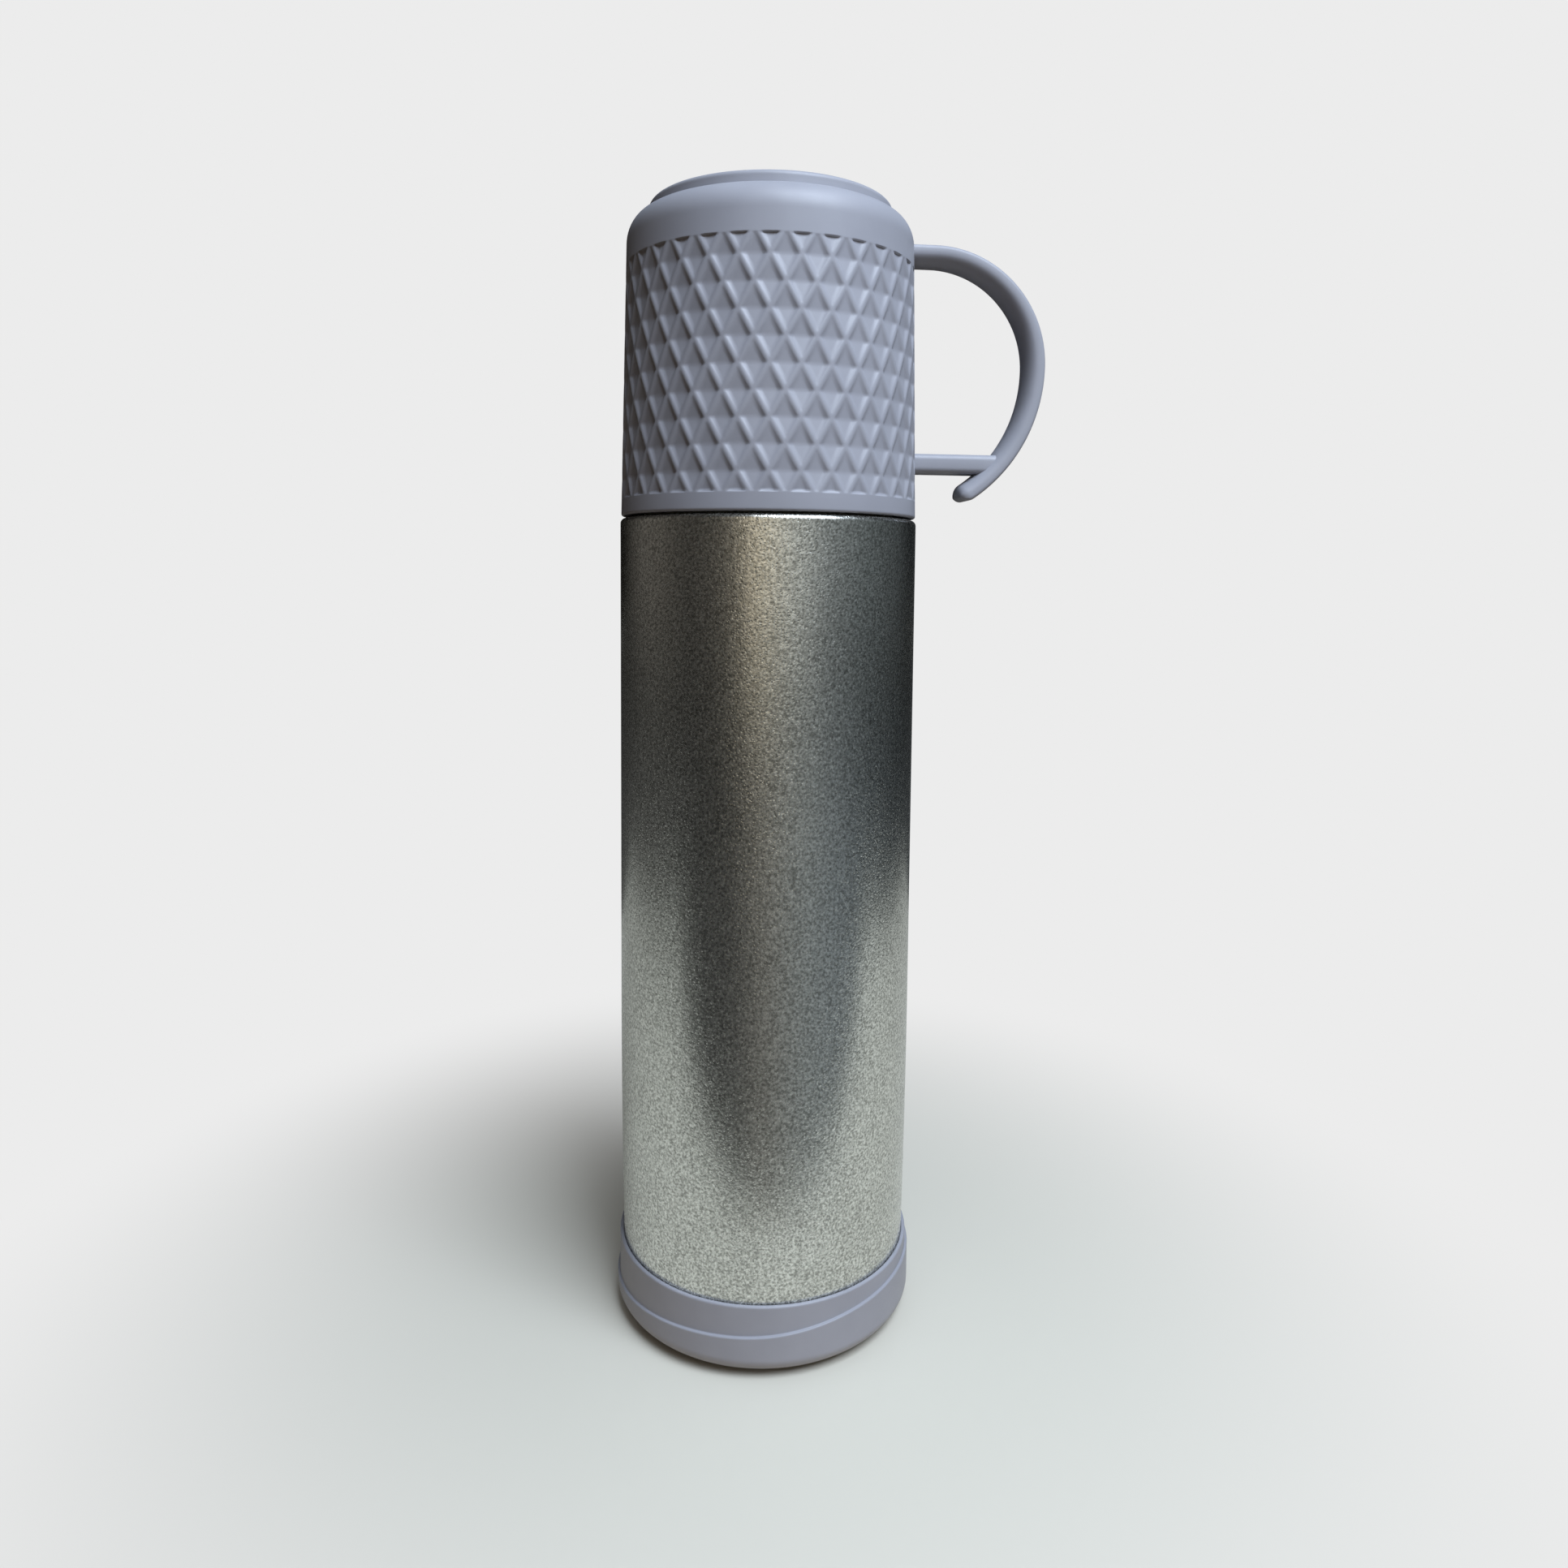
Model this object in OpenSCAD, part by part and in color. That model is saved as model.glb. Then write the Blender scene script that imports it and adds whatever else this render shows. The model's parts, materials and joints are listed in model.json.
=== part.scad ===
// Vacuum flask with a screw-on handle cup and a push-button stopper.
// The origin is at the centre of the foot pad's lower face. +Z points up and the handle lies along +X.

/* [Flask body] */
// Outer diameter of the steel body
body_d = 70; // [68:1:90]
// Height of the steel shoulder above the ground
shoulder_z = 190.5; // [150:0.5:240]
// Wall of the outer steel shell
shell_wall = 0.6; // [0.4:0.1:0.8]
// Rounding where the shell turns in at the shoulder
shoulder_r = 1.2; // [0.8:0.1:3]
// How much the shell's radius shrinks towards the base
foot_taper = 0.6; // [0:0.1:1]
// Height over which the shell narrows, above the base cup
taper_h = 60; // [30:5:100]

/* [Inner bottle] */
// Evacuated gap between the two steel walls
vacuum_gap = 2.9; // [2:0.1:4]
// Wall of the inner bottle
bottle_wall = 0.5; // [0.4:0.1:0.8]
// Clear diameter of the mouth
mouth_d = 46; // [36:1:47]
// Height of the neck above the shoulder
neck_h = 16.5; // [14:0.5:20]
// Space between the two bottoms
bottom_gap = 8; // [6:0.5:12]
// Rounding of the inner bottle's shoulder
bottle_shoulder_r = 7.5; // [5:0.5:9]
// Rounding of the inner bottle's bottom edge
bottle_foot_r = 6; // [4:0.5:8]

/* [Base] */
// Height of the plastic base cup
base_h = 17; // [14:0.5:24]
// How far the base cup's upper band stands out from the steel
base_lip = 1; // [0.8:0.1:1.6]
// How far the lower band stands out from the upper one
base_step = 0.6; // [0.4:0.1:1]
// Slant of the step between the two bands, in degrees
step_slant = 5.5; // [0:0.5:7]
// Depth of the step below the base cup's top edge, at the axis
step_drop = 6.6; // [5:0.2:8]
// Floor thickness of the base cup
base_floor = 2.7; // [2:0.1:4]
// Width of the rounded bottom corner
base_corner_w = 7.6; // [4:0.2:10]
// Height of the rounded bottom corner
base_corner_h = 4.6; // [3:0.2:6]
// Diameter of the foot pad
pad_d = 50; // [30:1:54]
// Thickness of the foot pad
pad_t = 1.6; // [1.2:0.1:2]
// How far the foot pad stands below the base cup
pad_proud = 0.3; // [0.2:0.1:0.6]

/* [Cup] */
// Height of the cup, from its rim to the flat top under the foot ring
cup_h = 68.5; // [64:0.5:90]
// Gap between the closed cup's rim and the steel shoulder
cup_gap = 0.5; // [0.3:0.1:1]
// How far the cup's rim stays inside the steel body's radius
cup_inset = 0.2; // [0:0.1:1]
// How much the cup's radius shrinks from rim to shoulder
cup_draft = 1.3; // [0.5:0.1:2]
// Wall of the cup at its rim
cup_wall = 3.2; // [2.8:0.1:4]
// Thickness of the cup's top
cup_top_t = 2.9; // [2.4:0.1:4]
// Width of the cup's rounded shoulder
cup_shoulder_w = 4.9; // [3:0.1:6]
// Height of the cup's rounded shoulder
cup_shoulder_h = 6.4; // [4:0.1:8]
// Wall of the steel cup liner
liner_wall = 0.8; // [0.5:0.1:1]
// Diameter of the ring that the upturned cup stands on
cup_foot_d = 56.8; // [46:0.2:57]
// Height of that ring above the cup's flat top
cup_foot_h = 2.9; // [1.5:0.1:4]

/* [Handle] */
// Thickness of the handle strip
handle_t = 4.3; // [3:0.1:5]
// Width of the handle strip
handle_w = 10; // [8:0.5:14]
// How far the handle stands out from the steel body
handle_reach = 30.8; // [26:0.1:36]
// Height of the handle's widest point above the cup's rim
handle_mid_h = 37; // [30:0.5:44]
// Height of the handle's root below the cup's flat top
handle_root_drop = 4.4; // [4:0.1:6]
// Outer radius of the handle's lower arc
handle_low_r = 38.4; // [34:0.2:42]
// Sweep of the lower arc below the widest point, in degrees
handle_low_sweep = 56; // [50:1:64]
// Height of the cross strut's middle above the cup's rim
strut_h = 13.5; // [12:0.5:15]
// Thickness of the cross strut
strut_t = 4.6; // [3:0.1:5]
// Width of the cross strut
strut_w = 7.6; // [5:0.2:8]

/* [Stopper] */
// Depth of the stopper's plug below the mouth
plug_depth = 28; // [24:0.5:30]
// Wall of the stopper's plug
plug_wall = 1.5; // [1.2:0.1:2]
// Thickness of the mouth gasket
gasket_t = 1; // [0.8:0.1:1.4]
// Thickness of the stopper's flange
flange_t = 2.5; // [2:0.1:3]
// Height of the stopper's ribbed grip above the flange
grip_h = 8; // [7:0.5:9]
// Number of grip ribs
grip_ribs = 36; // [24:6:48]
// Bore of the pouring tube through the stopper
tube_d = 17.6; // [16:0.2:18]
// Diameter of the push button
button_d = 24; // [22:0.5:25]
// How far the push button stands above the grip
button_proud = 3; // [2:0.5:4]
// Travel of the push button
button_travel = 3; // [2:0.5:3]
// Diameter of the valve stem
stem_d = 6; // [5:0.5:7]
// Diameter of the hole that the valve closes
seat_d = 14; // [12:0.5:15]
// Turns of the button's spring
spring_turns = 5; // [4:1:7]
// Wire diameter of the button's spring
spring_wire = 1; // [0.8:0.1:1.2]

/* [Threads and fits] */
// Height of a thread ridge above its root
thread_h = 0.9; // [0.7:0.1:1]
// Width of a thread ridge at its root
thread_w = 2.4; // [2:0.1:3]
// Rise of the cup thread in one turn
cup_lead = 10; // [6:1:12]
// Rise of the stopper thread in one turn
stopper_lead = 8; // [6:1:10]
// Number of thread starts
thread_starts = 4; // [3:1:4]
// Length of each thread ridge, in degrees
thread_arc = 56; // [40:2:70]
// Gap between the crests of two threads
thread_gap = 0.3; // [0.2:0.05:0.4]
// Gap between faces that slide or turn past each other
slide_gap = 0.3; // [0.2:0.05:0.4]
// Radial play of the valve stem in its guide
stem_gap = 0.05; // [0.02:0.01:0.1]
// Gap filled by adhesive between the steel shell and the base cup
glue_gap = 0.05; // [0.02:0.01:0.2]

/* [Hidden] */
$fn = 96;
EPS = 0.01;
ARC_STEPS = 10;
TAPER_STEPS = 8;

STEEL = [0.72, 0.73, 0.72];
DARK_STEEL = [0.55, 0.56, 0.56];
LILAC = [0.62, 0.61, 0.68];
WHITE = [0.9, 0.9, 0.88];
SILICONE = [0.82, 0.84, 0.85];

// Steel body
body_r = body_d / 2;
foot_r = body_r - foot_taper;
shell_rim_z = 3.2;
mouth_z = shoulder_z + neck_h;
mouth_r = mouth_d / 2;
neck_r = mouth_r + bottle_wall + vacuum_gap + shell_wall;
bottle_r = body_r - shell_wall - vacuum_gap;
outer_plate_z = 9;
inner_floor_z = outer_plate_z + shell_wall + bottom_gap;
weld_z = inner_floor_z + bottle_foot_r;
bottle_drop = 1;
bottle_shoulder_z = shoulder_z - shell_wall - vacuum_gap - bottle_drop;

// Base cup
base_r = foot_r + base_lip;
base_low_r = base_r + base_step;
base_floor_z = pad_proud + base_floor;
pad_r = pad_d / 2;

// Cup
cup_rim_z = shoulder_z + cup_gap;
cup_flat_z = cup_rim_z + cup_h;
cup_r = body_r - cup_inset;
cup_top_r = cup_r - cup_draft;
cup_bore_r = cup_r - cup_wall;
cup_ceiling_z = cup_flat_z - cup_top_t;
cup_foot_r = cup_foot_d / 2;
foot_spigot_inset = 7.6;
foot_spigot_r = cup_foot_r - foot_spigot_inset;
foot_spigot_h = 1.2;
liner_r = cup_bore_r - slide_gap;
cup_corner_r = 4;
cup_rim_edge = 0.5;

// Threads between cup and collar. The crests pass each other with a gap.
cup_crest_r = cup_bore_r - thread_h;
collar_crest_r = cup_crest_r - thread_gap;
collar_r = collar_crest_r - thread_h;
collar_gap = 0.5;
collar_drop = 3;
collar_bottom_z = shoulder_z + collar_gap;
collar_top_z = mouth_z - collar_drop;
collar_thread_rise = 1;
collar_thread_z = (collar_bottom_z + collar_top_z) / 2 + collar_thread_rise;
cup_thread_drop = 3;
cup_thread_z = collar_thread_z - cup_thread_drop;
liner_gap = 2;
liner_lip_z = collar_top_z + liner_gap;

// Threads between stopper and mouth
mouth_ridge_h = 0.6;
mouth_crest_r = mouth_r - mouth_ridge_h;
plug_crest_r = mouth_crest_r - thread_gap;
plug_r = plug_crest_r - thread_h;
mouth_thread_drop = 8;
mouth_thread_z = mouth_z - mouth_thread_drop;
plug_thread_drop = 4;
plug_thread_z = mouth_thread_z - plug_thread_drop;
thread_sink = 0.3;

// Stopper
gasket_inset = 0.8;
gasket_r = neck_r - gasket_inset;
gasket_gap = 0.2;
flange_z = mouth_z + gasket_t;
deck_z = flange_z + flange_t;
grip_inset = 1;
grip_r = gasket_r - grip_inset;
grip_wall = 1.6;
grip_top_z = deck_z + grip_h;
grip_deck_t = 1.5;
floor_t = 2;
seat_z = mouth_z - plug_depth;
plug_z = seat_z + floor_t;
tube_r = tube_d / 2;
tube_wall = 1.2;
guide_drop = 8;
guide_z = flange_z - guide_drop;
guide_t = 2;
guide_wall = 2;
guide_boss_r = stem_d / 2 + guide_wall;
guide_ribs = 3;
guide_rib_w = 1.6;

// Button and valve
button_r = button_d / 2;
button_top_z = grip_top_z + button_proud;
button_wall = 1.2;
button_stop = 1;
button_skirt_z = deck_z + button_travel + button_stop;
button_boss_inset = 2;
button_boss_r = tube_r - button_boss_inset;
button_boss_proud = 0.5;
button_boss_z = button_skirt_z - button_boss_proud;
stem_r = stem_d / 2;
stem_cover = 3;
stem_top_z = button_top_z - stem_cover;
valve_t = 2;
valve_gasket_t = 1;
valve_lap = 2;
valve_r = seat_d / 2 + valve_lap;
valve_z = seat_z - valve_gasket_t - valve_t;
clip_t = 0.8;
clip_lap = 2;
clip_r = stem_r + clip_lap;
stem_tail = 0.7;
stem_end_z = valve_z - clip_t - stem_tail;
spring_play = 0.2;
spring_r = button_boss_r - spring_wire / 2 - spring_play;

// Handle
handle_x = body_r + handle_reach;
handle_mid_z = cup_rim_z + handle_mid_h;
handle_root_z = cup_flat_z - handle_root_drop;
handle_top_r = handle_root_z - handle_mid_z;
handle_top_x = handle_x - handle_top_r;
handle_low_x = handle_x - handle_low_r;
strut_z = cup_rim_z + strut_h;
handle_root_depth = 3;

// Points along an arc, from angle a0 to angle a1, with its own width and height
function arc(cx, cz, rx, rz, a0, a1, steps = ARC_STEPS) = [
    for (i = [0:steps])
        let (a = a0 + (a1 - a0) * i / steps)
        [cx + rx * cos(a), cz + rz * sin(a)]
];

// Radius of the shell's outer face at a height: a smooth ease from the foot to the full body
function shell_r(z) =
    let (t = min(1, max(0, (z - base_h) / taper_h)))
    foot_r + foot_taper * (1 - (1 - t) * (1 - t));

// The shell's narrowing stretch, inset by a wall
function taper(inset) = [
    for (i = [0:TAPER_STEPS])
        let (z = base_h + taper_h * i / TAPER_STEPS)
        [shell_r(z) - inset, z]
];

function reversed(points) = [for (i = [len(points) - 1:-1:0]) points[i]];

module revolve(points) {
    rotate_extrude() polygon(points);
}

// A ring of rectangular section
module ring(r_in, r_out, z, h) {
    translate([0, 0, z]) difference() {
        cylinder(r = r_out, h = h);
        translate([0, 0, -EPS]) cylinder(r = r_in, h = h + 2 * EPS);
    }
}

// Short slanted ridges of a many-start screw thread. Each runs from its root, sunk a little
// into the wall, to its crest, and may face outwards or inwards.
module thread_ridges(root, crest, z, lead) {
    sunk = root + (crest > root ? -thread_sink : thread_sink);
    slant = atan(lead / (2 * PI * crest));
    for (i = [0:thread_starts - 1])
        translate([0, 0, z]) rotate([0, 0, i * 360 / thread_starts])
            rotate([slant, 0, 0]) rotate([0, 0, -thread_arc / 2])
                rotate_extrude(angle = thread_arc)
                    polygon([
                        [sunk, -thread_w / 2],
                        [crest, -thread_w / 6],
                        [crest, thread_w / 6],
                        [sunk, thread_w / 2]
                    ]);
}

// Flask body

module outer_shell() {
    wall = shell_wall;
    top_r = body_r - shoulder_r;
    top_z = shoulder_z - shoulder_r;
    color(STEEL) revolve(concat(
        [[foot_r, shell_rim_z]],
        taper(0),
        arc(top_r, top_z, shoulder_r, shoulder_r, 0, 90),
        [
            [neck_r, shoulder_z],
            [neck_r, mouth_z],
            [mouth_r + bottle_wall, mouth_z],
            [mouth_r + bottle_wall, mouth_z - wall],
            [neck_r - wall, mouth_z - wall],
            [neck_r - wall, shoulder_z - wall]
        ],
        arc(top_r, top_z, shoulder_r - wall, shoulder_r - wall, 90, 0),
        reversed(taper(wall)),
        [[foot_r - wall, shell_rim_z]]
    ));
}

// Pressed pan that closes the shell from below
module outer_bottom() {
    r = foot_r - shell_wall;
    color(DARK_STEEL) revolve([
        [0, outer_plate_z],
        [r - shell_wall, outer_plate_z],
        [r - shell_wall, shell_rim_z],
        [r, shell_rim_z],
        [r, outer_plate_z + shell_wall],
        [0, outer_plate_z + shell_wall]
    ]);
}

module inner_bottle() {
    wall = bottle_wall;
    arc_z = bottle_shoulder_z - bottle_shoulder_r;
    arc_x = bottle_r - bottle_shoulder_r;
    inner_r = bottle_shoulder_r - wall;
    color(STEEL) union() {
        revolve(concat(
            [[bottle_r, weld_z]],
            arc(arc_x, arc_z, bottle_shoulder_r, bottle_shoulder_r, 0, 90),
            [
                [mouth_r + wall, bottle_shoulder_z],
                [mouth_r + wall, mouth_z],
                [mouth_r, mouth_z],
                [mouth_r, bottle_shoulder_z - wall]
            ],
            arc(arc_x, arc_z, inner_r, inner_r, 90, 0),
            [[bottle_r - wall, weld_z]]
        ));
        thread_ridges(mouth_r, mouth_crest_r, mouth_thread_z, stopper_lead);
    }
}

// Pressed dish welded to the inner bottle's lower edge
module inner_bottom() {
    wall = bottle_wall;
    arc_x = bottle_r - bottle_foot_r;
    color(STEEL) revolve(concat(
        [[0, inner_floor_z]],
        arc(arc_x, weld_z, bottle_foot_r, bottle_foot_r, -90, 0),
        arc(arc_x, weld_z, bottle_foot_r - wall, bottle_foot_r - wall, 0, -90),
        [[0, inner_floor_z + wall]]
    ));
}

// Metal foil wrapped round the inner bottle, which holds back radiant heat
module heat_foil() {
    foil_t = 0.2;
    foil_margin = 2;
    r = bottle_r + vacuum_gap / 4;
    z = weld_z + foil_margin;
    top_z = bottle_shoulder_z - bottle_shoulder_r - foil_margin;
    color("darkgoldenrod") ring(r, r + foil_t, z, top_z - z);
}

// Pellet that soaks up stray gas in the vacuum
module getter() {
    getter_r = 6;
    getter_h = 2.2;
    getter_x = body_r * 0.45;
    color("dimgray") translate([getter_x, 0, outer_plate_z + shell_wall])
        cylinder(r = getter_r, h = getter_h);
}

// Bead that seals the pumping hole
module vacuum_plug() {
    bead_t = 0.9;
    bead_tip_r = 3;
    bead_root_r = 4;
    color("dimgray") translate([0, 0, outer_plate_z - bead_t])
        cylinder(r1 = bead_tip_r, r2 = bead_root_r, h = bead_t);
}

// Threaded collar on the neck, which the cup screws onto
module neck_collar() {
    color(WHITE) union() {
        ring(neck_r, collar_r, collar_bottom_z, collar_top_z - collar_bottom_z);
        thread_ridges(collar_r, collar_crest_r, collar_thread_z, cup_lead);
    }
}

// Base cup: an upper band, a slanted step and a fuller lower band with a rounded corner
module base_cup() {
    bore_r = foot_r + glue_gap;
    corner_z = pad_proud + base_corner_h;
    recess = pad_t - pad_proud;
    cutter = 3 * body_d;
    color(LILAC) difference() {
        revolve(concat(
            [[0, pad_proud]],
            arc(base_low_r - base_corner_w, corner_z, base_corner_w, base_corner_h, -90, 0),
            [
                [base_low_r, base_h],
                [bore_r, base_h],
                [bore_r, base_floor_z],
                [0, base_floor_z]
            ]
        ));
        translate([0, 0, base_h - step_drop]) rotate([0, -step_slant, 0])
            difference() {
                translate([0, 0, cutter / 2]) cube(cutter, center = true);
                rotate([0, step_slant, 0]) cylinder(r = base_r, h = 2 * cutter, center = true);
            }
        translate([0, 0, pad_proud - EPS])
            cylinder(r = pad_r + glue_gap, h = recess + EPS);
    }
}

module foot_pad() {
    edge = 0.3;
    color("dimgray") revolve([
        [0, 0],
        [pad_r - edge, 0],
        [pad_r, edge],
        [pad_r, pad_t],
        [0, pad_t]
    ]);
}

// Stopper

module stopper_gasket() {
    color(SILICONE) ring(mouth_r + gasket_gap, gasket_r, mouth_z, gasket_t);
}

// Threaded plug with its flange and the pouring tube through its middle
module stopper_body() {
    color(WHITE) union() {
        revolve([
            [tube_r, plug_z],
            [tube_r + tube_wall, plug_z],
            [tube_r + tube_wall, flange_z],
            [plug_r - plug_wall, flange_z],
            [plug_r - plug_wall, plug_z],
            [plug_r, plug_z],
            [plug_r, flange_z],
            [gasket_r, flange_z],
            [gasket_r, deck_z],
            [tube_r, deck_z]
        ]);
        thread_ridges(plug_r, plug_crest_r, plug_thread_z, stopper_lead);
        difference() {
            union() {
                translate([0, 0, guide_z]) cylinder(r = guide_boss_r, h = guide_t);
                for (i = [0:guide_ribs - 1])
                    rotate([0, 0, i * 360 / guide_ribs])
                        translate([0, -guide_rib_w / 2, guide_z])
                            cube([tube_r + tube_wall / 2, guide_rib_w, guide_t]);
            }
            translate([0, 0, guide_z - EPS])
                cylinder(r = stem_r + stem_gap, h = guide_t + 2 * EPS);
        }
    }
}

// Disc welded under the plug. Its hole is the valve's seat.
module stopper_floor() {
    color(WHITE) ring(seat_d / 2, plug_r, seat_z, floor_t);
}

module stopper_insulation() {
    fit = 0.2;
    color("ivory") ring(
        tube_r + tube_wall + fit, plug_r - plug_wall - fit,
        plug_z + fit, flange_z - plug_z - 2 * fit
    );
}

// Ribbed ring on top of the flange, with two pouring slots and the button's hole
module stopper_grip() {
    slot_w = 9;
    slot_sill = 1.2;
    slot_h = grip_h - 4;
    edge = 1;
    rib_r = 0.8;
    rib_sink = 0.1;
    rib_sill = 0.5;
    rib_h = grip_h - 2;
    color(LILAC) difference() {
        union() {
            revolve([
                [grip_r - grip_wall, deck_z],
                [grip_r, deck_z],
                [grip_r, grip_top_z - edge],
                [grip_r - edge, grip_top_z],
                [button_r + slide_gap, grip_top_z],
                [button_r + slide_gap, grip_top_z - grip_deck_t],
                [grip_r - grip_wall, grip_top_z - grip_deck_t]
            ]);
            for (i = [0:grip_ribs - 1])
                rotate([0, 0, i * 360 / grip_ribs])
                    translate([grip_r - rib_sink, 0, deck_z + rib_sill])
                        cylinder(r = rib_r, h = rib_h, $fn = 16);
        }
        translate([0, 0, deck_z + slot_sill + slot_h / 2])
            cube([3 * body_d, slot_w, slot_h], center = true);
    }
}

// One ring of points round the spring's wire, at a share s of its length
function wire_ring(s, r, turns, z0, z1, wire, sides) = [
    for (k = [0:sides - 1])
        let (a = s * turns * 360, b = k * 360 / sides, radial = r + wire / 2 * cos(b))
        [radial * cos(a), radial * sin(a), z0 + (z1 - z0) * s + wire / 2 * sin(b)]
];

module button_spring() {
    sides = 6;
    rings_in_turn = 14;
    rings = spring_turns * rings_in_turn;
    z0 = guide_z + guide_t + spring_wire / 2;
    z1 = button_boss_z - spring_wire / 2;
    points = [
        for (i = [0:rings])
            each wire_ring(i / rings, spring_r, spring_turns, z0, z1, spring_wire, sides)
    ];
    walls = [
        for (i = [0:rings - 1]) for (k = [0:sides - 1])
            let (a = i * sides + k, b = i * sides + (k + 1) % sides)
            each [[a, b, a + sides], [b, b + sides, a + sides]]
    ];
    first = [for (k = [sides - 1:-1:0]) k];
    last = [for (k = [0:sides - 1]) rings * sides + k];
    color(DARK_STEEL) polyhedron(points, concat(walls, [first, last]));
}

// Hollow button with a boss that takes the stem and presses on the spring
module push_button() {
    edge = 1;
    color(LILAC) revolve([
        [stem_r, button_boss_z],
        [button_boss_r, button_boss_z],
        [button_boss_r, button_top_z - 2 * button_wall],
        [button_r - button_wall, button_top_z - 2 * button_wall],
        [button_r - button_wall, button_skirt_z],
        [button_r, button_skirt_z],
        [button_r, button_top_z - edge],
        [button_r - edge, button_top_z],
        [0, button_top_z],
        [0, stem_top_z],
        [stem_r, stem_top_z]
    ]);
}

module valve_stem() {
    color(WHITE) translate([0, 0, stem_end_z]) cylinder(r = stem_r, h = stem_top_z - stem_end_z);
}

module valve_disc() {
    color(WHITE) ring(stem_r, valve_r, valve_z, valve_t);
}

module valve_gasket() {
    color(SILICONE) ring(stem_r, valve_r, valve_z + valve_t, valve_gasket_t);
}

module valve_clip() {
    color(DARK_STEEL) ring(stem_r, clip_r, valve_z - clip_t, clip_t);
}

// Cup

module cup_liner() {
    r = liner_r;
    top_z = cup_ceiling_z - slide_gap;
    corner = cup_corner_r;
    inner = corner - liner_wall;
    color(STEEL) revolve(concat(
        [[r, liner_lip_z]],
        arc(r - corner, top_z - corner, corner, corner, 0, 90),
        [[0, top_z], [0, top_z - liner_wall]],
        arc(r - corner, top_z - corner, inner, inner, 90, 0),
        [[r - liner_wall, liner_lip_z]]
    ));
}

// Outer face of the cup, from rim to flat top
function cup_outline() = concat(
    [[cup_r - cup_rim_edge, cup_rim_z], [cup_r, cup_rim_z + cup_rim_edge]],
    arc(
        cup_top_r - cup_shoulder_w, cup_flat_z - cup_shoulder_h,
        cup_shoulder_w, cup_shoulder_h, 0, 90
    )
);

module cup_shell() {
    corner = cup_corner_r;
    color(LILAC) union() {
        difference() {
            revolve(concat(
                [[cup_bore_r, cup_rim_z]],
                cup_outline(),
                [[0, cup_flat_z], [0, cup_ceiling_z]],
                arc(cup_bore_r - corner, cup_ceiling_z - corner, corner, corner, 90, 0)
            ));
            translate([0, 0, cup_flat_z - foot_spigot_h])
                cylinder(r = foot_spigot_r + glue_gap, h = foot_spigot_h + EPS);
        }
        thread_ridges(cup_bore_r, cup_crest_r, cup_thread_z, cup_lead);
    }
}

// Disc on the cup's top, which the cup stands on when it is upturned to drink from
module cup_foot() {
    edge = 1.1;
    dish = 0.8;
    ring_w = 4;
    dish_r = cup_foot_r - ring_w;
    top_z = cup_flat_z + cup_foot_h;
    color(LILAC) revolve(concat(
        [
            [0, cup_flat_z - foot_spigot_h],
            [foot_spigot_r, cup_flat_z - foot_spigot_h],
            [foot_spigot_r, cup_flat_z],
            [cup_foot_r, cup_flat_z]
        ],
        arc(cup_foot_r - edge, top_z - edge, edge, edge, 0, 90, 6),
        [
            [dish_r, top_z],
            [dish_r - dish, top_z - dish],
            [0, top_z - dish]
        ]
    ));
}

// A flat outline drawn in the handle's plane, x outwards and y up, made as wide as the strip
module across(wide) {
    rotate([90, 0, 0]) translate([0, 0, -wide / 2]) linear_extrude(height = wide) children();
}

// The strip bent round an arc. Side is 1 for the quarter above the centre and -1 for below it.
module strip_arc(x, z, outer_r, sweep, side) {
    reach = 2 * outer_r;
    translate([x, z]) intersection() {
        difference() {
            circle(r = outer_r);
            circle(r = outer_r - handle_t);
        }
        polygon([
            [0, 0],
            [reach, 0],
            [reach, side * reach],
            [reach * cos(sweep), side * reach * sin(sweep)]
        ]);
    }
}

// Hooked handle: straight root, upper arc, wider lower arc with a free tip, and a cross strut
module cup_handle() {
    bend_r = handle_low_r - handle_t / 2;
    root_x = cup_top_r - handle_root_depth;
    strut_root_x = cup_r - handle_root_depth;
    strut_angle = asin((handle_mid_z - strut_z) / bend_r);
    strut_x = handle_low_x + bend_r * cos(strut_angle);
    tip = [
        handle_low_x + bend_r * cos(handle_low_sweep),
        handle_mid_z - bend_r * sin(handle_low_sweep)
    ];
    color(LILAC) difference() {
        union() {
            across(handle_w) {
                translate([root_x, handle_root_z - handle_t])
                    square([max(handle_top_x - root_x, 0.1), handle_t]);
                strip_arc(handle_top_x, handle_mid_z, handle_top_r, 90, 1);
                strip_arc(handle_low_x, handle_mid_z, handle_low_r, handle_low_sweep, -1);
                translate(tip) circle(d = handle_t);
            }
            across(strut_w)
                translate([strut_root_x, strut_z - strut_t / 2])
                    square([strut_x - strut_root_x, strut_t]);
        }
        translate([0, 0, cup_rim_z])
            cylinder(r1 = cup_r, r2 = cup_top_r, h = cup_h - cup_shoulder_h);
        translate([0, 0, cup_flat_z - cup_shoulder_h - EPS])
            cylinder(r = cup_top_r, h = 2 * cup_shoulder_h);
    }
}

outer_shell();
outer_bottom();
inner_bottle();
inner_bottom();
heat_foil();
getter();
vacuum_plug();
neck_collar();
base_cup();
foot_pad();
stopper_gasket();
stopper_body();
stopper_floor();
stopper_insulation();
stopper_grip();
button_spring();
push_button();
valve_stem();
valve_disc();
valve_gasket();
valve_clip();
cup_liner();
cup_shell();
cup_foot();
cup_handle();
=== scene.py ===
import json
import math

import bmesh
import bpy
import numpy as np
from mathutils import Matrix, Vector

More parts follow.
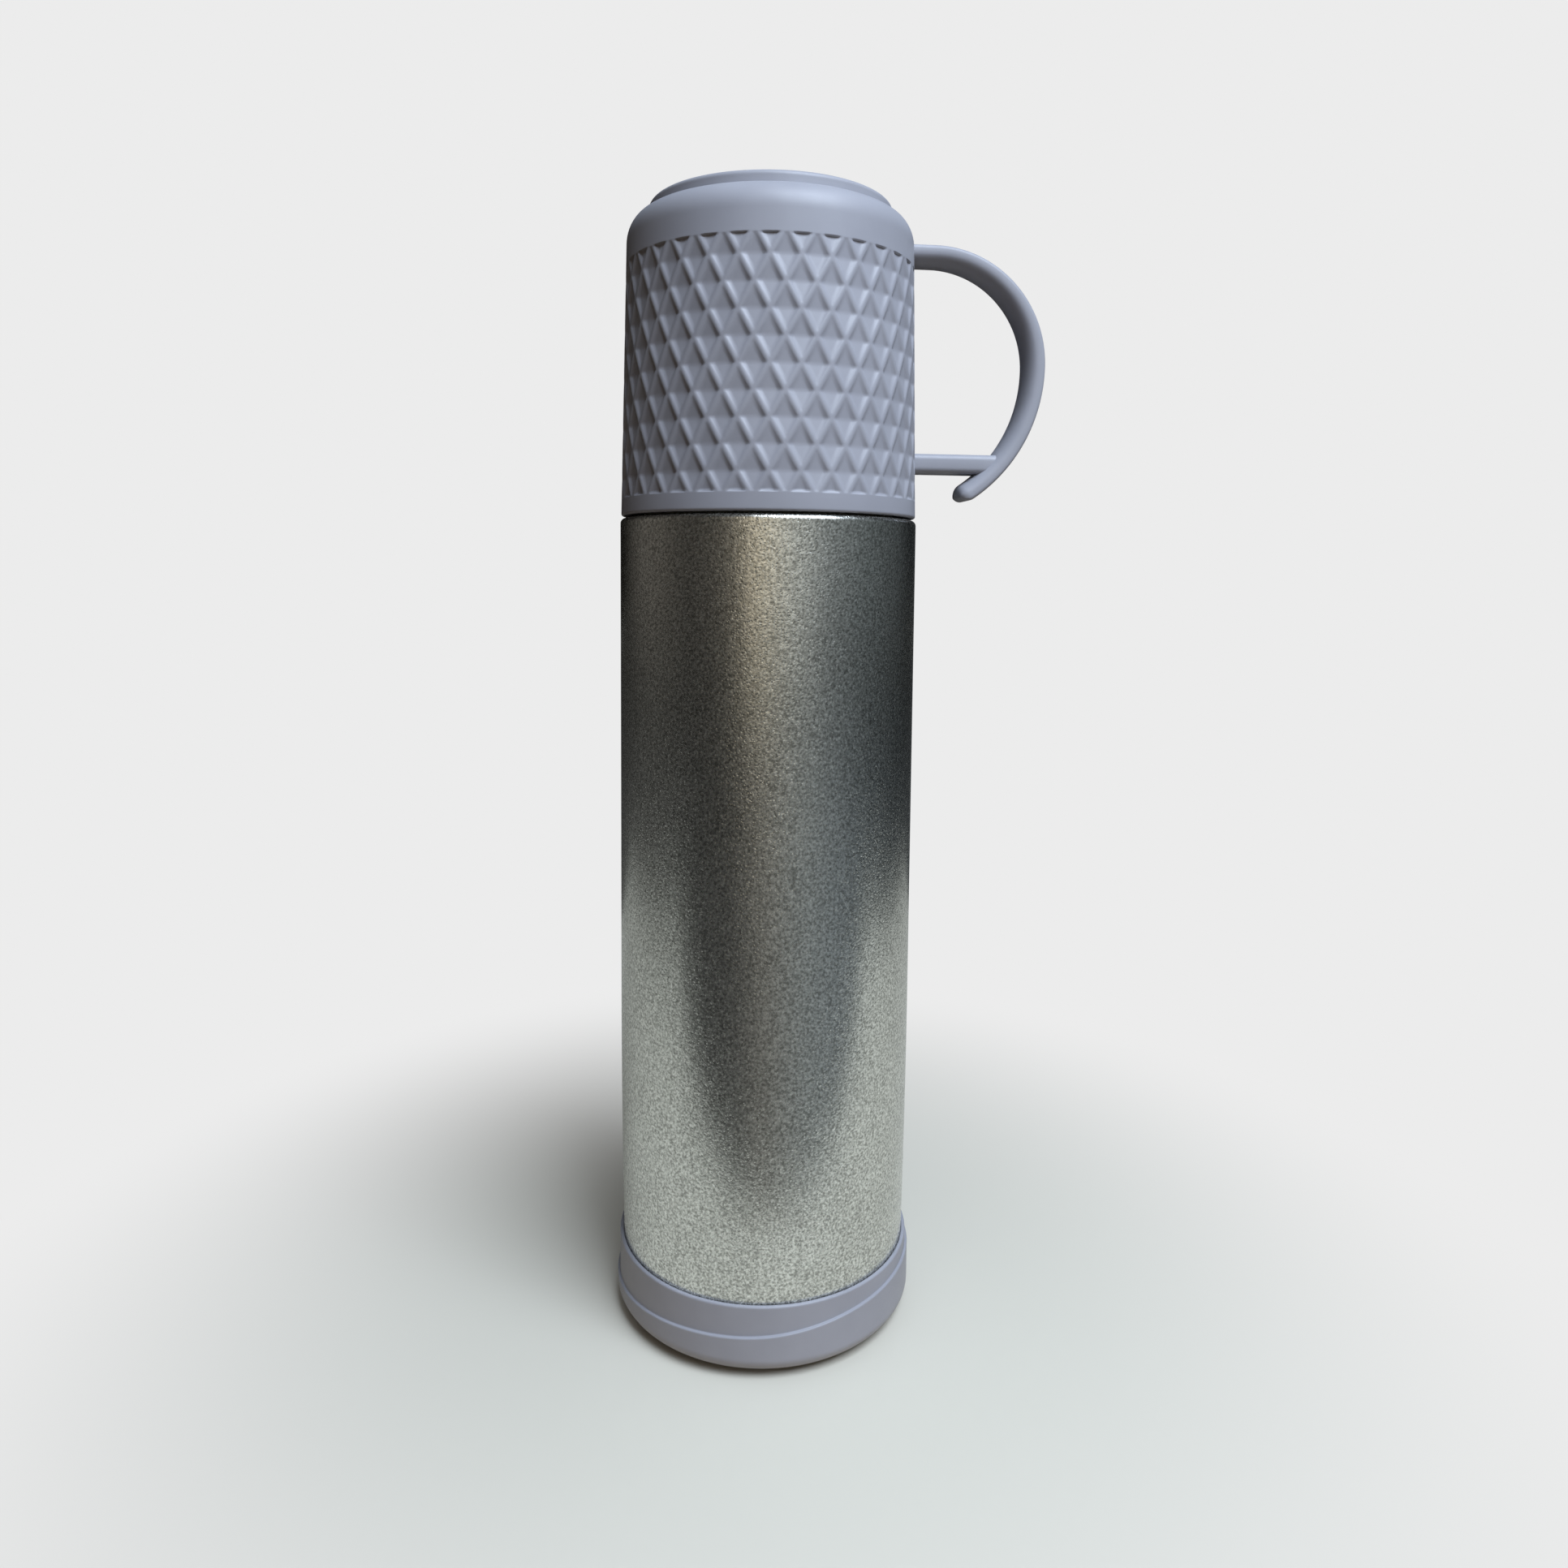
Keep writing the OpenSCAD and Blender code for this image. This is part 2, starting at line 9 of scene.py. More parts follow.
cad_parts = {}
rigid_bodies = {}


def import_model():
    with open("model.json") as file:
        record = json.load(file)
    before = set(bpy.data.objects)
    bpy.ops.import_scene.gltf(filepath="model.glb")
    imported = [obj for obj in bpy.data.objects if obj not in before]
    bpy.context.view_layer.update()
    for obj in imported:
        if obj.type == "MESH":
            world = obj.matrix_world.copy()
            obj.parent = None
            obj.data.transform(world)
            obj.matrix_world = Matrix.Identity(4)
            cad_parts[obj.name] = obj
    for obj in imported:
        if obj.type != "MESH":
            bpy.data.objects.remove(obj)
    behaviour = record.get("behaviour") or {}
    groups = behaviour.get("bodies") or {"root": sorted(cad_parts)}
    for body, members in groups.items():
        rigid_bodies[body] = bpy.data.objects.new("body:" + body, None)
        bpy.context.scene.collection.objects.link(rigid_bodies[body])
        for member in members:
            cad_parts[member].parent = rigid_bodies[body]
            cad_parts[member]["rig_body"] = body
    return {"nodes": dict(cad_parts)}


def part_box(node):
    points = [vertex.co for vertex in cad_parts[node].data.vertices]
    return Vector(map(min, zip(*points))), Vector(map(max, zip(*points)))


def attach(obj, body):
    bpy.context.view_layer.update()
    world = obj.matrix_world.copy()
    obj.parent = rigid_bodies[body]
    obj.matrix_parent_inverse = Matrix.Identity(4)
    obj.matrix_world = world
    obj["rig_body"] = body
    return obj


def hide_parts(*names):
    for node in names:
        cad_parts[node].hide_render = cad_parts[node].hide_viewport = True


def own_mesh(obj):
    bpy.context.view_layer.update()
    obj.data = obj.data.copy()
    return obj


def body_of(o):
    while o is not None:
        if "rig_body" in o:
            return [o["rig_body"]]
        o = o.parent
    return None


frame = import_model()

MM = 0.001
TURN = 2 * math.pi
MATH = "ShaderNodeMath"
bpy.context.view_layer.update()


# Sizes in mm. The imported model's boxes give the outer ones; the others are set here, some of them from those.

def extent(node):
    """Reach along +X, lowest height and highest height of a CAD node. The reach is a round node's radius."""
    low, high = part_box(node)
    return high.x / MM, low.z / MM, high.z / MM


BODY_R, SHELL_FOOT_Z, MOUTH_Z = extent("outer_shell")
BASE_R, BASE_Z, BASE_TOP_Z = extent("base_cup")
CUP_R, CUP_RIM_Z, CUP_TOP_Z = extent("cup_shell")
DISC_R, DISC_Z, DISC_TOP_Z = extent("cup_foot")
HANDLE_X, _, HANDLE_TOP_Z = extent("cup_handle")
LINER_R, LINER_LIP_Z, LINER_TOP_Z = extent("cup_liner")
_, COLLAR_Z, COLLAR_TOP_Z = extent("neck_collar")
FLANGE_R, PLUG_Z, DECK_Z = extent("stopper_body")
_, _, GRIP_TOP_Z = extent("stopper_grip")
BUTTON_R, BUTTON_Z, BUTTON_TOP_Z = extent("push_button")
STEM_R, STEM_Z, STEM_TOP_Z = extent("valve_stem")

# Steel
SHOULDER_Z = CUP_RIM_Z - 0.5
SHELL_WALL = 0.6
MOUTH_R = 23.0
LIP_R = MOUTH_R + 0.5
NECK_R = LIP_R + 2.9 + SHELL_WALL
FOOT_TAPER = 0.6
TAPER_H = 60.0

# Cup
CUP_DRAFT = 1.3
CUP_BORE_R = CUP_R - 3.2
CUP_CEILING_Z = CUP_TOP_Z - 2.9
CUP_EDGE_Z = CUP_RIM_Z + 0.5
CUP_SHOULDER_W, CUP_SHOULDER_H = 4.9, 6.4
CUP_SHOULDER_Z = CUP_TOP_Z - CUP_SHOULDER_H

# Threads
THREAD_H = 0.9
THREAD_SINK = 0.3
THREAD_HALF_W = 1.2
THREAD_GAP = 0.3
THREAD_SWEEP = math.radians(56)
THREAD_STARTS = 4
CUP_LEAD = 10
STOPPER_LEAD = 8
COLLAR_R = CUP_BORE_R - 2 * THREAD_H - THREAD_GAP
PLUG_R = MOUTH_R - 0.6 - THREAD_GAP - THREAD_H
COLLAR_THREAD_Z = (COLLAR_Z + COLLAR_TOP_Z) / 2 + 1
CUP_THREAD_Z = COLLAR_THREAD_Z - 3
PLUG_THREAD_Z = MOUTH_Z - 12

# Stopper
FLANGE_Z = extent("stopper_gasket")[2]
PLUG_WALL = 1.5
TUBE_R, TUBE_WALL = 8.8, 1.2
SEAT_R = 7.0
GUIDE_Z, GUIDE_T = FLANGE_Z - 8, 2.0
BUTTON_WALL = 1.2
BOSS_R = 6.8


# Small helpers

def linear(code):
    """The linear colour, with alpha, of an sRGB hex code."""
    shares = [int(code[i:i + 2], 16) / 255 for i in (1, 3, 5)]
    return tuple(c / 12.92 if c <= 0.04045 else ((c + 0.055) / 1.055) ** 2.4 for c in shares) + (1.0,)


def add(tree, kind, inputs=(), stops=(), **settings):
    """Adds a node with its settings.

    An input is a plain value, or a node or output socket to link. Stops are a colour ramp's
    (place, hex code) pairs.
    """
    node = tree.nodes.new(kind)
    for name, value in settings.items():
        setattr(node, name, value)
    for key, value in (inputs.items() if isinstance(inputs, dict) else enumerate(inputs)):
        if isinstance(value, bpy.types.Node):
            value = value.outputs[0]
        if isinstance(value, bpy.types.NodeSocket):
            tree.links.new(value, node.inputs[key])
        else:
            node.inputs[key].default_value = value
    if stops:
        elements = node.color_ramp.elements
        while len(elements) < len(stops):
            elements.new(0.5)
        for element, (place, code) in zip(elements, stops):
            element.position = place
            element.color = linear(code)
    return node


def new_object(name, mesh, body=None, stands_for=(), material=None):
    """Puts a mesh in the scene, with its finish, and sets the body it rides on."""
    piece = bpy.data.objects.new(name, mesh)
    bpy.context.scene.collection.objects.link(piece)
    if material:
        mesh.materials.clear()
        mesh.materials.append(material)
    if body:
        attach(piece, body)
        if stands_for:
            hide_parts(*stands_for)
    return piece


def arc(r, z, wide, tall, start, end, count):
    """Points of an elliptic arc in mm, from a start angle to an end angle in degrees."""
    return [(r + wide * math.cos(a), z + tall * math.sin(a))
            for a in np.radians(np.linspace(start, end, count))]


def rounded(corners, steps=5):
    """A profile from (r, z, radius) corners in mm, each turned into an arc with a close loop beside it."""
    points = [Vector(corner[:2]) for corner in corners]
    out = []
    for i, corner in enumerate(corners):
        point, radius = points[i], corner[2] if len(corner) > 2 else 0
        if radius <= 0 or i in (0, len(corners) - 1):
            out.append(point)
            continue
        before, after = points[i - 1] - point, points[i + 1] - point
        half = before.angle(after) / 2
        reach = min(radius / math.tan(half), 0.48 * before.length, 0.48 * after.length)
        radius = reach * math.tan(half)
        way_in, way_out = before.normalized(), after.normalized()
        centre = point + (way_in + way_out).normalized() * radius / math.sin(half)
        start, end = point + way_in * reach, point + way_out * reach
        spoke = start - centre
        sweep = spoke.angle_signed(end - centre)
        out.append(start + way_in * min(0.08, 0.3 * (before.length - reach)))
        for k in range(steps + 1):
            turn = -sweep * k / steps
            out.append(centre + Vector((
                spoke.x * math.cos(turn) - spoke.y * math.sin(turn),
                spoke.x * math.sin(turn) + spoke.y * math.cos(turn))))
        out.append(end + way_out * min(0.08, 0.3 * (after.length - reach)))
    return [(v.x, v.y) for v in out]


def ring_of(bm, r, z, segments, phase=0.0):
    """A ring of vertices round the axis, or a single one on it. Lengths are in mm."""
    if r < 1e-6:
        return [bm.verts.new((0, 0, z * MM))]
    return [bm.verts.new((
        r * MM * math.cos(phase + TURN * k / segments),
        r * MM * math.sin(phase + TURN * k / segments),
        z * MM)) for k in range(segments)]


def skin(bm, rings, closed=False):
    """Faces between rings in turn, where a ring of one vertex closes to a point."""
    pairs = list(zip(rings, rings[1:] + rings[:1] if closed else rings[1:]))
    for low, high in pairs:
        count = max(len(low), len(high))
        if count == 1:
            continue
        for k in range(count):
            n = (k + 1) % count
            if len(low) == 1:
                bm.faces.new((low[0], high[n], high[k]))
            elif len(high) == 1:
                bm.faces.new((low[k], low[n], high[0]))
            else:
                bm.faces.new((low[k], low[n], high[n], high[k]))


def lathe(bm, profile, segments, phase=0.0, closed=True):
    """Turns a profile in mm round the axis. Seen with r right and z up, the solid lies to its left."""
    rings = [ring_of(bm, r, z, segments, phase) for r, z in profile]
    skin(bm, rings, closed)
    return rings


def finish_mesh(bm, name, sharp=None):
    """Smooths a bmesh and returns it as a mesh. Edges past the sharp angle, in degrees, stay sharp."""
    mesh = bpy.data.meshes.new(name)
    bm.to_mesh(mesh)
    bm.free()
    mesh.shade_smooth()
    if sharp is not None:
        mesh.set_sharp_from_angle(angle=math.radians(sharp))
    return mesh


def turned(name, profile, body, material, stands_for, segments=192, sharp=None):
    """A piece turned from one closed profile in mm."""
    bm = bmesh.new()
    lathe(bm, profile, segments)
    new_object(name, finish_mesh(bm, name, sharp), body, stands_for, material)


# Finishes

def new_material(name):
    """An empty material, its node tree, and the place on the piece that its patterns follow."""
    material = bpy.data.materials.new(name)
    material.use_nodes = True
    tree = material.node_tree
    tree.nodes.clear()
    return material, tree, add(tree, "ShaderNodeTexCoord").outputs["Object"]


def give_surface(tree, inputs):
    """Ends a material's tree in its surface."""
    shader = add(tree, "ShaderNodeBsdfPrincipled", inputs)
    add(tree, "ShaderNodeOutputMaterial", {"Surface": shader})


def satin_steel():
    """Stainless sheet, shot with fine beads and electropolished: each tiny dimple glints by itself, and pale specks
    in its colour are painted glints.
    """
    material, tree, where = new_material("satin_steel")
    # The dimples are drawn 0.3 to 0.6 mm wide, so that they show as sparkle at arm's length
    grain = add(tree, "ShaderNodeTexNoise", {
        "Vector": where, "Scale": 1 / (0.5 * MM), "Detail": 2.0, "Roughness": 0.6})
    dimples = add(tree, "ShaderNodeTexVoronoi", {"Vector": where, "Scale": 1 / (0.6 * MM)})
    bowl = add(tree, "ShaderNodeMapRange", {"Value": dimples, "From Min": 0.0, "From Max": 0.42},
               interpolation_type="SMOOTHSTEP")
    # Painted glints: fine pale specks, at random in the colour, stand in for dimples that catch the light, over a
    # slow random change of tone
    cloud = add(tree, "ShaderNodeTexNoise", {
        "Vector": where, "Scale": 1 / (18 * MM), "Detail": 3.0, "Roughness": 0.6})
    painted_glint_specks = add(tree, "ShaderNodeTexNoise", {
        "Vector": where, "Scale": 1 / (0.55 * MM), "Detail": 1.5, "Roughness": 0.6})
    tone_and_painted_glints = add(tree, MATH, (cloud, 0.12, painted_glint_specks), operation="MULTIPLY_ADD")
    # Colour: a slow random change of tone, with the painted glints as pale specks on it
    tint = add(tree, "ShaderNodeValToRGB", (tone_and_painted_glints,), stops=((0.40, "#999993"), (0.74, "#e9e9e2")))
    rough = add(tree, "ShaderNodeMapRange", {
        "Value": grain, "From Min": 0.3, "From Max": 0.7, "To Min": 0.2, "To Max": 0.32})
    height = add(tree, MATH, (bowl, 0.85, grain), operation="MULTIPLY_ADD")
    bump = add(tree, "ShaderNodeBump", {"Height": height, "Strength": 1.0, "Distance": 0.035 * MM})
    give_surface(tree, {"Base Color": tint, "Roughness": rough, "Normal": bump, "Metallic": 1.0})
    return material


def drawn_steel():
    """Stainless sheet as it is drawn and brushed inside: fine rings round the axis streak its shine."""
    material, tree, where = new_material("drawn_steel")
    # The rings are about 0.3 mm apart up the axis and run 16 mm along it
    stretched = add(tree, "ShaderNodeMapping", {"Vector": where, "Scale": (60, 60, 3500)})
    lines = add(tree, "ShaderNodeTexNoise", {
        "Vector": stretched, "Scale": 1.0, "Detail": 3.0, "Roughness": 0.6})
    tint = add(tree, "ShaderNodeValToRGB", (lines,), stops=((0.3, "#b4b5b1"), (0.7, "#c9cac6")))
    rough = add(tree, "ShaderNodeMapRange", {
        "Value": lines, "From Min": 0.3, "From Max": 0.7, "To Min": 0.2, "To Max": 0.34})
    bump = add(tree, "ShaderNodeBump", {"Height": lines, "Strength": 0.3, "Distance": 0.03 * MM})
    give_surface(tree, {"Base Color": tint, "Roughness": rough, "Normal": bump, "Metallic": 1.0})
    return material


def grained(name, dark, light, roughness, grain_mm=0.35, depth=0.012, ior=1.49, shine=0.5, metal=0.0):
    """A nearly even colour with a fine grain, as a mould's spark-eroded wall leaves it on plastic."""
    material, tree, where = new_material(name)
    cloud = add(tree, "ShaderNodeTexNoise", {
        "Vector": where, "Scale": 1 / (14 * MM), "Detail": 3.0, "Roughness": 0.55})
    tint = add(tree, "ShaderNodeValToRGB", (cloud,), stops=((0.3, dark), (0.7, light)))
    grain = add(tree, "ShaderNodeTexNoise", {
        "Vector": where, "Scale": 1 / (grain_mm * MM), "Detail": 2.0, "Roughness": 0.55})
    rough = add(tree, "ShaderNodeMapRange", {
        "Value": grain, "From Min": 0.3, "From Max": 0.7,
        "To Min": roughness - 0.05, "To Max": roughness + 0.05})
    bump = add(tree, "ShaderNodeBump", {"Height": grain, "Strength": 0.35, "Distance": depth * MM})
    give_surface(tree, {"Base Color": tint, "Roughness": rough, "Normal": bump, "IOR": ior,
                        "Specular IOR Level": shine, "Metallic": metal})
    return material


# Bead-shot stainless steel: a soft silver shine that breaks up into speckle, partly from real dimples and partly
# painted glints in its colour
STEEL = satin_steel()
# Drawn stainless steel inside: brighter, with streaks round the axis
INSIDE_STEEL = drawn_steel()
# Lilac-grey polypropylene with a soft satin skin, which shines only a little
LILAC = grained("lilac_polypropylene", "#8e8f97", "#94959d", 0.44, shine=0.32)
# Milk-white polypropylene of the stopper and collar, a little glossier
WHITE = grained("white_polypropylene", "#d9d8d2", "#e2e1dc", 0.38)
# Clear-grey silicone rubber of the gaskets, with a dull shine
SILICONE = grained("silicone_rubber", "#b9bcbd", "#c3c6c7", 0.5, ior=1.41)
# Grey rubber of the foot pad, matt and slightly rough
RUBBER = grained("grey_rubber", "#55555a", "#606066", 0.7, grain_mm=0.6, depth=0.03, ior=1.52)
# Ivory foam inside the stopper, matt with open pores
FOAM = grained("ivory_foam", "#d8d1bb", "#e2dcc8", 0.85, grain_mm=0.8, depth=0.12)
# Copper-coloured foil round the inner bottle, whose crinkles catch the light
FOIL = grained("crinkled_copper_foil", "#b08052", "#c79a6c", 0.22, grain_mm=3.5, depth=0.4, ior=1.5, metal=1.0)
# Dark sintered alloy of the getter pellet, with an open grain
GETTER = grained("sintered_alloy", "#4a4845", "#66635e", 0.6, grain_mm=0.5, depth=0.1, ior=1.5, metal=1.0)
# Dark solder glass that seals the pumping hole, smooth and glossy
GLASS_BEAD = grained("solder_glass", "#2c2925", "#3a3630", 0.12, grain_mm=1.2, depth=0.02, ior=1.6)


# Steel body

def steel_body():
    """Outer shell: narrowed foot, straight wall, rounded shoulder, neck and the lip of the mouth."""
    bend, fillet, beside = 1.2, 0.6, 0.1
    bend_r, bend_z = BODY_R - bend, SHOULDER_Z - bend
    taper_top = BASE_TOP_Z + TAPER_H
    profile = [(BODY_R - FOOT_TAPER, SHELL_FOOT_Z)]
    profile += [(BODY_R - FOOT_TAPER * (1 - share) ** 2, BASE_TOP_Z + TAPER_H * share)
                for share in np.linspace(0, 1, 17)]
    profile += [(BODY_R, z) for z in np.linspace(taper_top, bend_z - beside, 9)[1:]]
    profile += arc(bend_r, bend_z, bend, bend, 0, 90, 11)
    profile += [(bend_r - beside, SHOULDER_Z)]
    profile += arc(NECK_R + fillet, SHOULDER_Z + fillet, fillet, fillet, -90, -180, 5)
    profile += [(NECK_R, MOUTH_Z - 0.8)]
    profile += arc(NECK_R - SHELL_WALL, MOUTH_Z - SHELL_WALL, SHELL_WALL, SHELL_WALL, 0, 90, 6)
    # Back down the inside, from the lip that turns in over the inner bottle
    neck_in = NECK_R - SHELL_WALL
    profile += [(neck_in - 0.2, MOUTH_Z), (LIP_R, MOUTH_Z), (LIP_R, MOUTH_Z - SHELL_WALL),
                (neck_in, MOUTH_Z - SHELL_WALL), (neck_in, SHOULDER_Z - SHELL_WALL),
                (bend_r - beside, SHOULDER_Z - SHELL_WALL)]
    profile += arc(bend_r, bend_z, bend - SHELL_WALL, bend - SHELL_WALL, 80, 0, 7)
    foot_in = BODY_R - FOOT_TAPER - SHELL_WALL
    profile += [(BODY_R - SHELL_WALL, taper_top), (foot_in, BASE_TOP_Z), (foot_in, SHELL_FOOT_Z)]
    turned("steel_body", profile, "flask", STEEL, ("outer_shell",), segments=256)


# Base cup

# Depth in mm of the base cup's slanted step below its top edge, by degrees round from its left side
STEP_DEPTHS = ((-90, 10.4), (-75, 9.9), (-57, 8.7), (-40, 7.75), (-24, 7.2), (-11, 6.95), (0, 6.5),
               (10, 5.8), (20, 5.1), (35, 4.3), (50, 3.8), (57, 3.6), (75, 3.35), (90, 3.3))


def step_depths(segments):
    """The step's depth at each segment, evened out. It is the same front and back."""
    places, depths = zip(*STEP_DEPTHS)
    across = [math.degrees(math.asin(math.cos(TURN * k / segments))) for k in range(segments)]
    raw = np.interp(across, places, depths)
    span = 9
    kernel = np.ones(2 * span + 1) / (2 * span + 1)
    return np.convolve(np.r_[raw[-span:], raw, raw[:span]], kernel, "valid")


def base_cup():
    """Base cup: an upper band with a rounded lip, a slanted step, and a fuller lower band."""
    segments = 256
    upper_r = BASE_R - 0.6
    corner_w, corner_h = 7.6, 4.6
    corner_z = BASE_Z + corner_h
    edge, root, lip = 0.3, 0.2, 0.45
    bore_r = BODY_R - FOOT_TAPER + 0.05
    floor_z = BASE_Z + 2.7
    pad_r, recess_z = 25.05, BASE_Z + 1.3
    columns = []
    for depth in step_depths(segments):
        step_z = BASE_TOP_Z - depth
        columns.append(
            [(pad_r, BASE_Z)]
            + arc(BASE_R - corner_w, corner_z, corner_w, corner_h, -90, 0, 15)
            + [(BASE_R, min(corner_z + 0.3, step_z - 0.6)), (BASE_R, step_z - 0.5)]
            + arc(BASE_R - edge, step_z - 0.32, edge, edge, 0, 90, 5)
            + arc(upper_r + root, step_z + 0.18, root, root, -90, -180, 4)
            + [(upper_r, step_z + 0.35), (upper_r, BASE_TOP_Z - 0.75)]
            + arc(upper_r - lip, BASE_TOP_Z - lip, lip, lip, 0, 90, 6)
            + [(bore_r + 0.2, BASE_TOP_Z), (bore_r, BASE_TOP_Z - 0.2), (bore_r, floor_z)])
    bm = bmesh.new()
    rings = [[bm.verts.new((r * MM * math.cos(TURN * k / segments), r * MM * math.sin(TURN * k / segments), z * MM))
              for k, (r, z) in enumerate(row)] for row in zip(*columns)]
    # The shallow recess that the foot pad is glued into comes first, and the floor inside last
    recess = [ring_of(bm, 0, recess_z, segments), ring_of(bm, pad_r, recess_z, segments)]
    skin(bm, recess + rings + [ring_of(bm, 0, floor_z, segments)])
    new_object("base_band", finish_mesh(bm, "base_band", sharp=50), "flask", ("base_cup",), LILAC)


# Geometry Nodes

def new_tree(name, sizes):
    """A Geometry Nodes tree with one input for each size, a whole number or not, and those inputs."""
    tree = bpy.data.node_groups.new(name, "GeometryNodeTree")
    tree.interface.new_socket("Geometry", in_out="OUTPUT", socket_type="NodeSocketGeometry")
    for label, value in sizes.items():
        kind = "NodeSocketInt" if isinstance(value, int) else "NodeSocketFloat"
        tree.interface.new_socket(label, in_out="INPUT", socket_type=kind)
    return tree, {s.name: s for s in add(tree, "NodeGroupInput").outputs if s.name}


def end_tree(tree, geometry, material):
    """Ends a tree in real geometry with its finish."""
    real = add(tree, "GeometryNodeRealizeInstances", {"Geometry": geometry})
    done = add(tree, "GeometryNodeSetMaterial", {"Geometry": real, "Material": material})
    add(tree, "NodeGroupOutput", {"Geometry": done})


def add_grown(bm, tree, sizes):
    """Runs a tree with these sizes and adds what it makes to a bmesh."""
    seed = bpy.data.objects.new(tree.name, bpy.data.meshes.new(tree.name))
    bpy.context.scene.collection.objects.link(seed)
    modifier = seed.modifiers.new(tree.name, "NODES")
    modifier.node_group = tree
    for socket in tree.interface.items_tree:
        if socket.in_out == "INPUT":
            modifier[socket.identifier] = sizes[socket.name]
    bpy.context.view_layer.update()
    ready = seed.evaluated_get(bpy.context.evaluated_depsgraph_get())
    mesh = bpy.data.meshes.new_from_object(ready)
    seed.modifiers.clear()
    bpy.data.objects.remove(seed)
    bm.from_mesh(mesh)
    bpy.data.meshes.remove(mesh)


# Cup with its band of sunk diamonds

DIAMONDS = 32
DIAMOND_HEIGHT = 11.12
BAND_STEPS = 12
BAND_ROWS = (-105, 9)
CROSSING_Z = 243.8
BAND_SEGMENTS = DIAMONDS * BAND_STEPS
CROSSING_ANGLE = TURN / DIAMONDS / 2
LEDGE = 0.14
TAPER = CUP_DRAFT / (CUP_SHOULDER_Z - CUP_EDGE_Z)

BAND_SIZES = {
    "Diamonds round": float(DIAMONDS),
    "Steps in a diamond": BAND_STEPS,
    "Lowest row": BAND_ROWS[0],
    "Highest row": BAND_ROWS[1],
    "Diamond height": DIAMOND_HEIGHT * MM,
    "Crossing height": CROSSING_Z * MM,
    "Crossing angle": CROSSING_ANGLE,
    "Ridge spacing": 5.78 * MM,
    "Pit depth": 0.62 * MM,
    "Wall slope": 0.95,
    "Ridge rounding": 0.30 * MM,
    "Ridge half width": 0.30 * MM,
    "Fillet": 0.20 * MM,
    "Ledge": LEDGE * MM,
    "Crowding": 0.35,
    "Rim radius": CUP_R * MM,
    "Rim height": CUP_EDGE_Z * MM,
    "Taper": TAPER,
}


def cup_radius(z):
    """Radius of the cup's outer face in mm, which narrows from its rim to its shoulder."""
    return CUP_R - TAPER * (z - CUP_EDGE_Z)


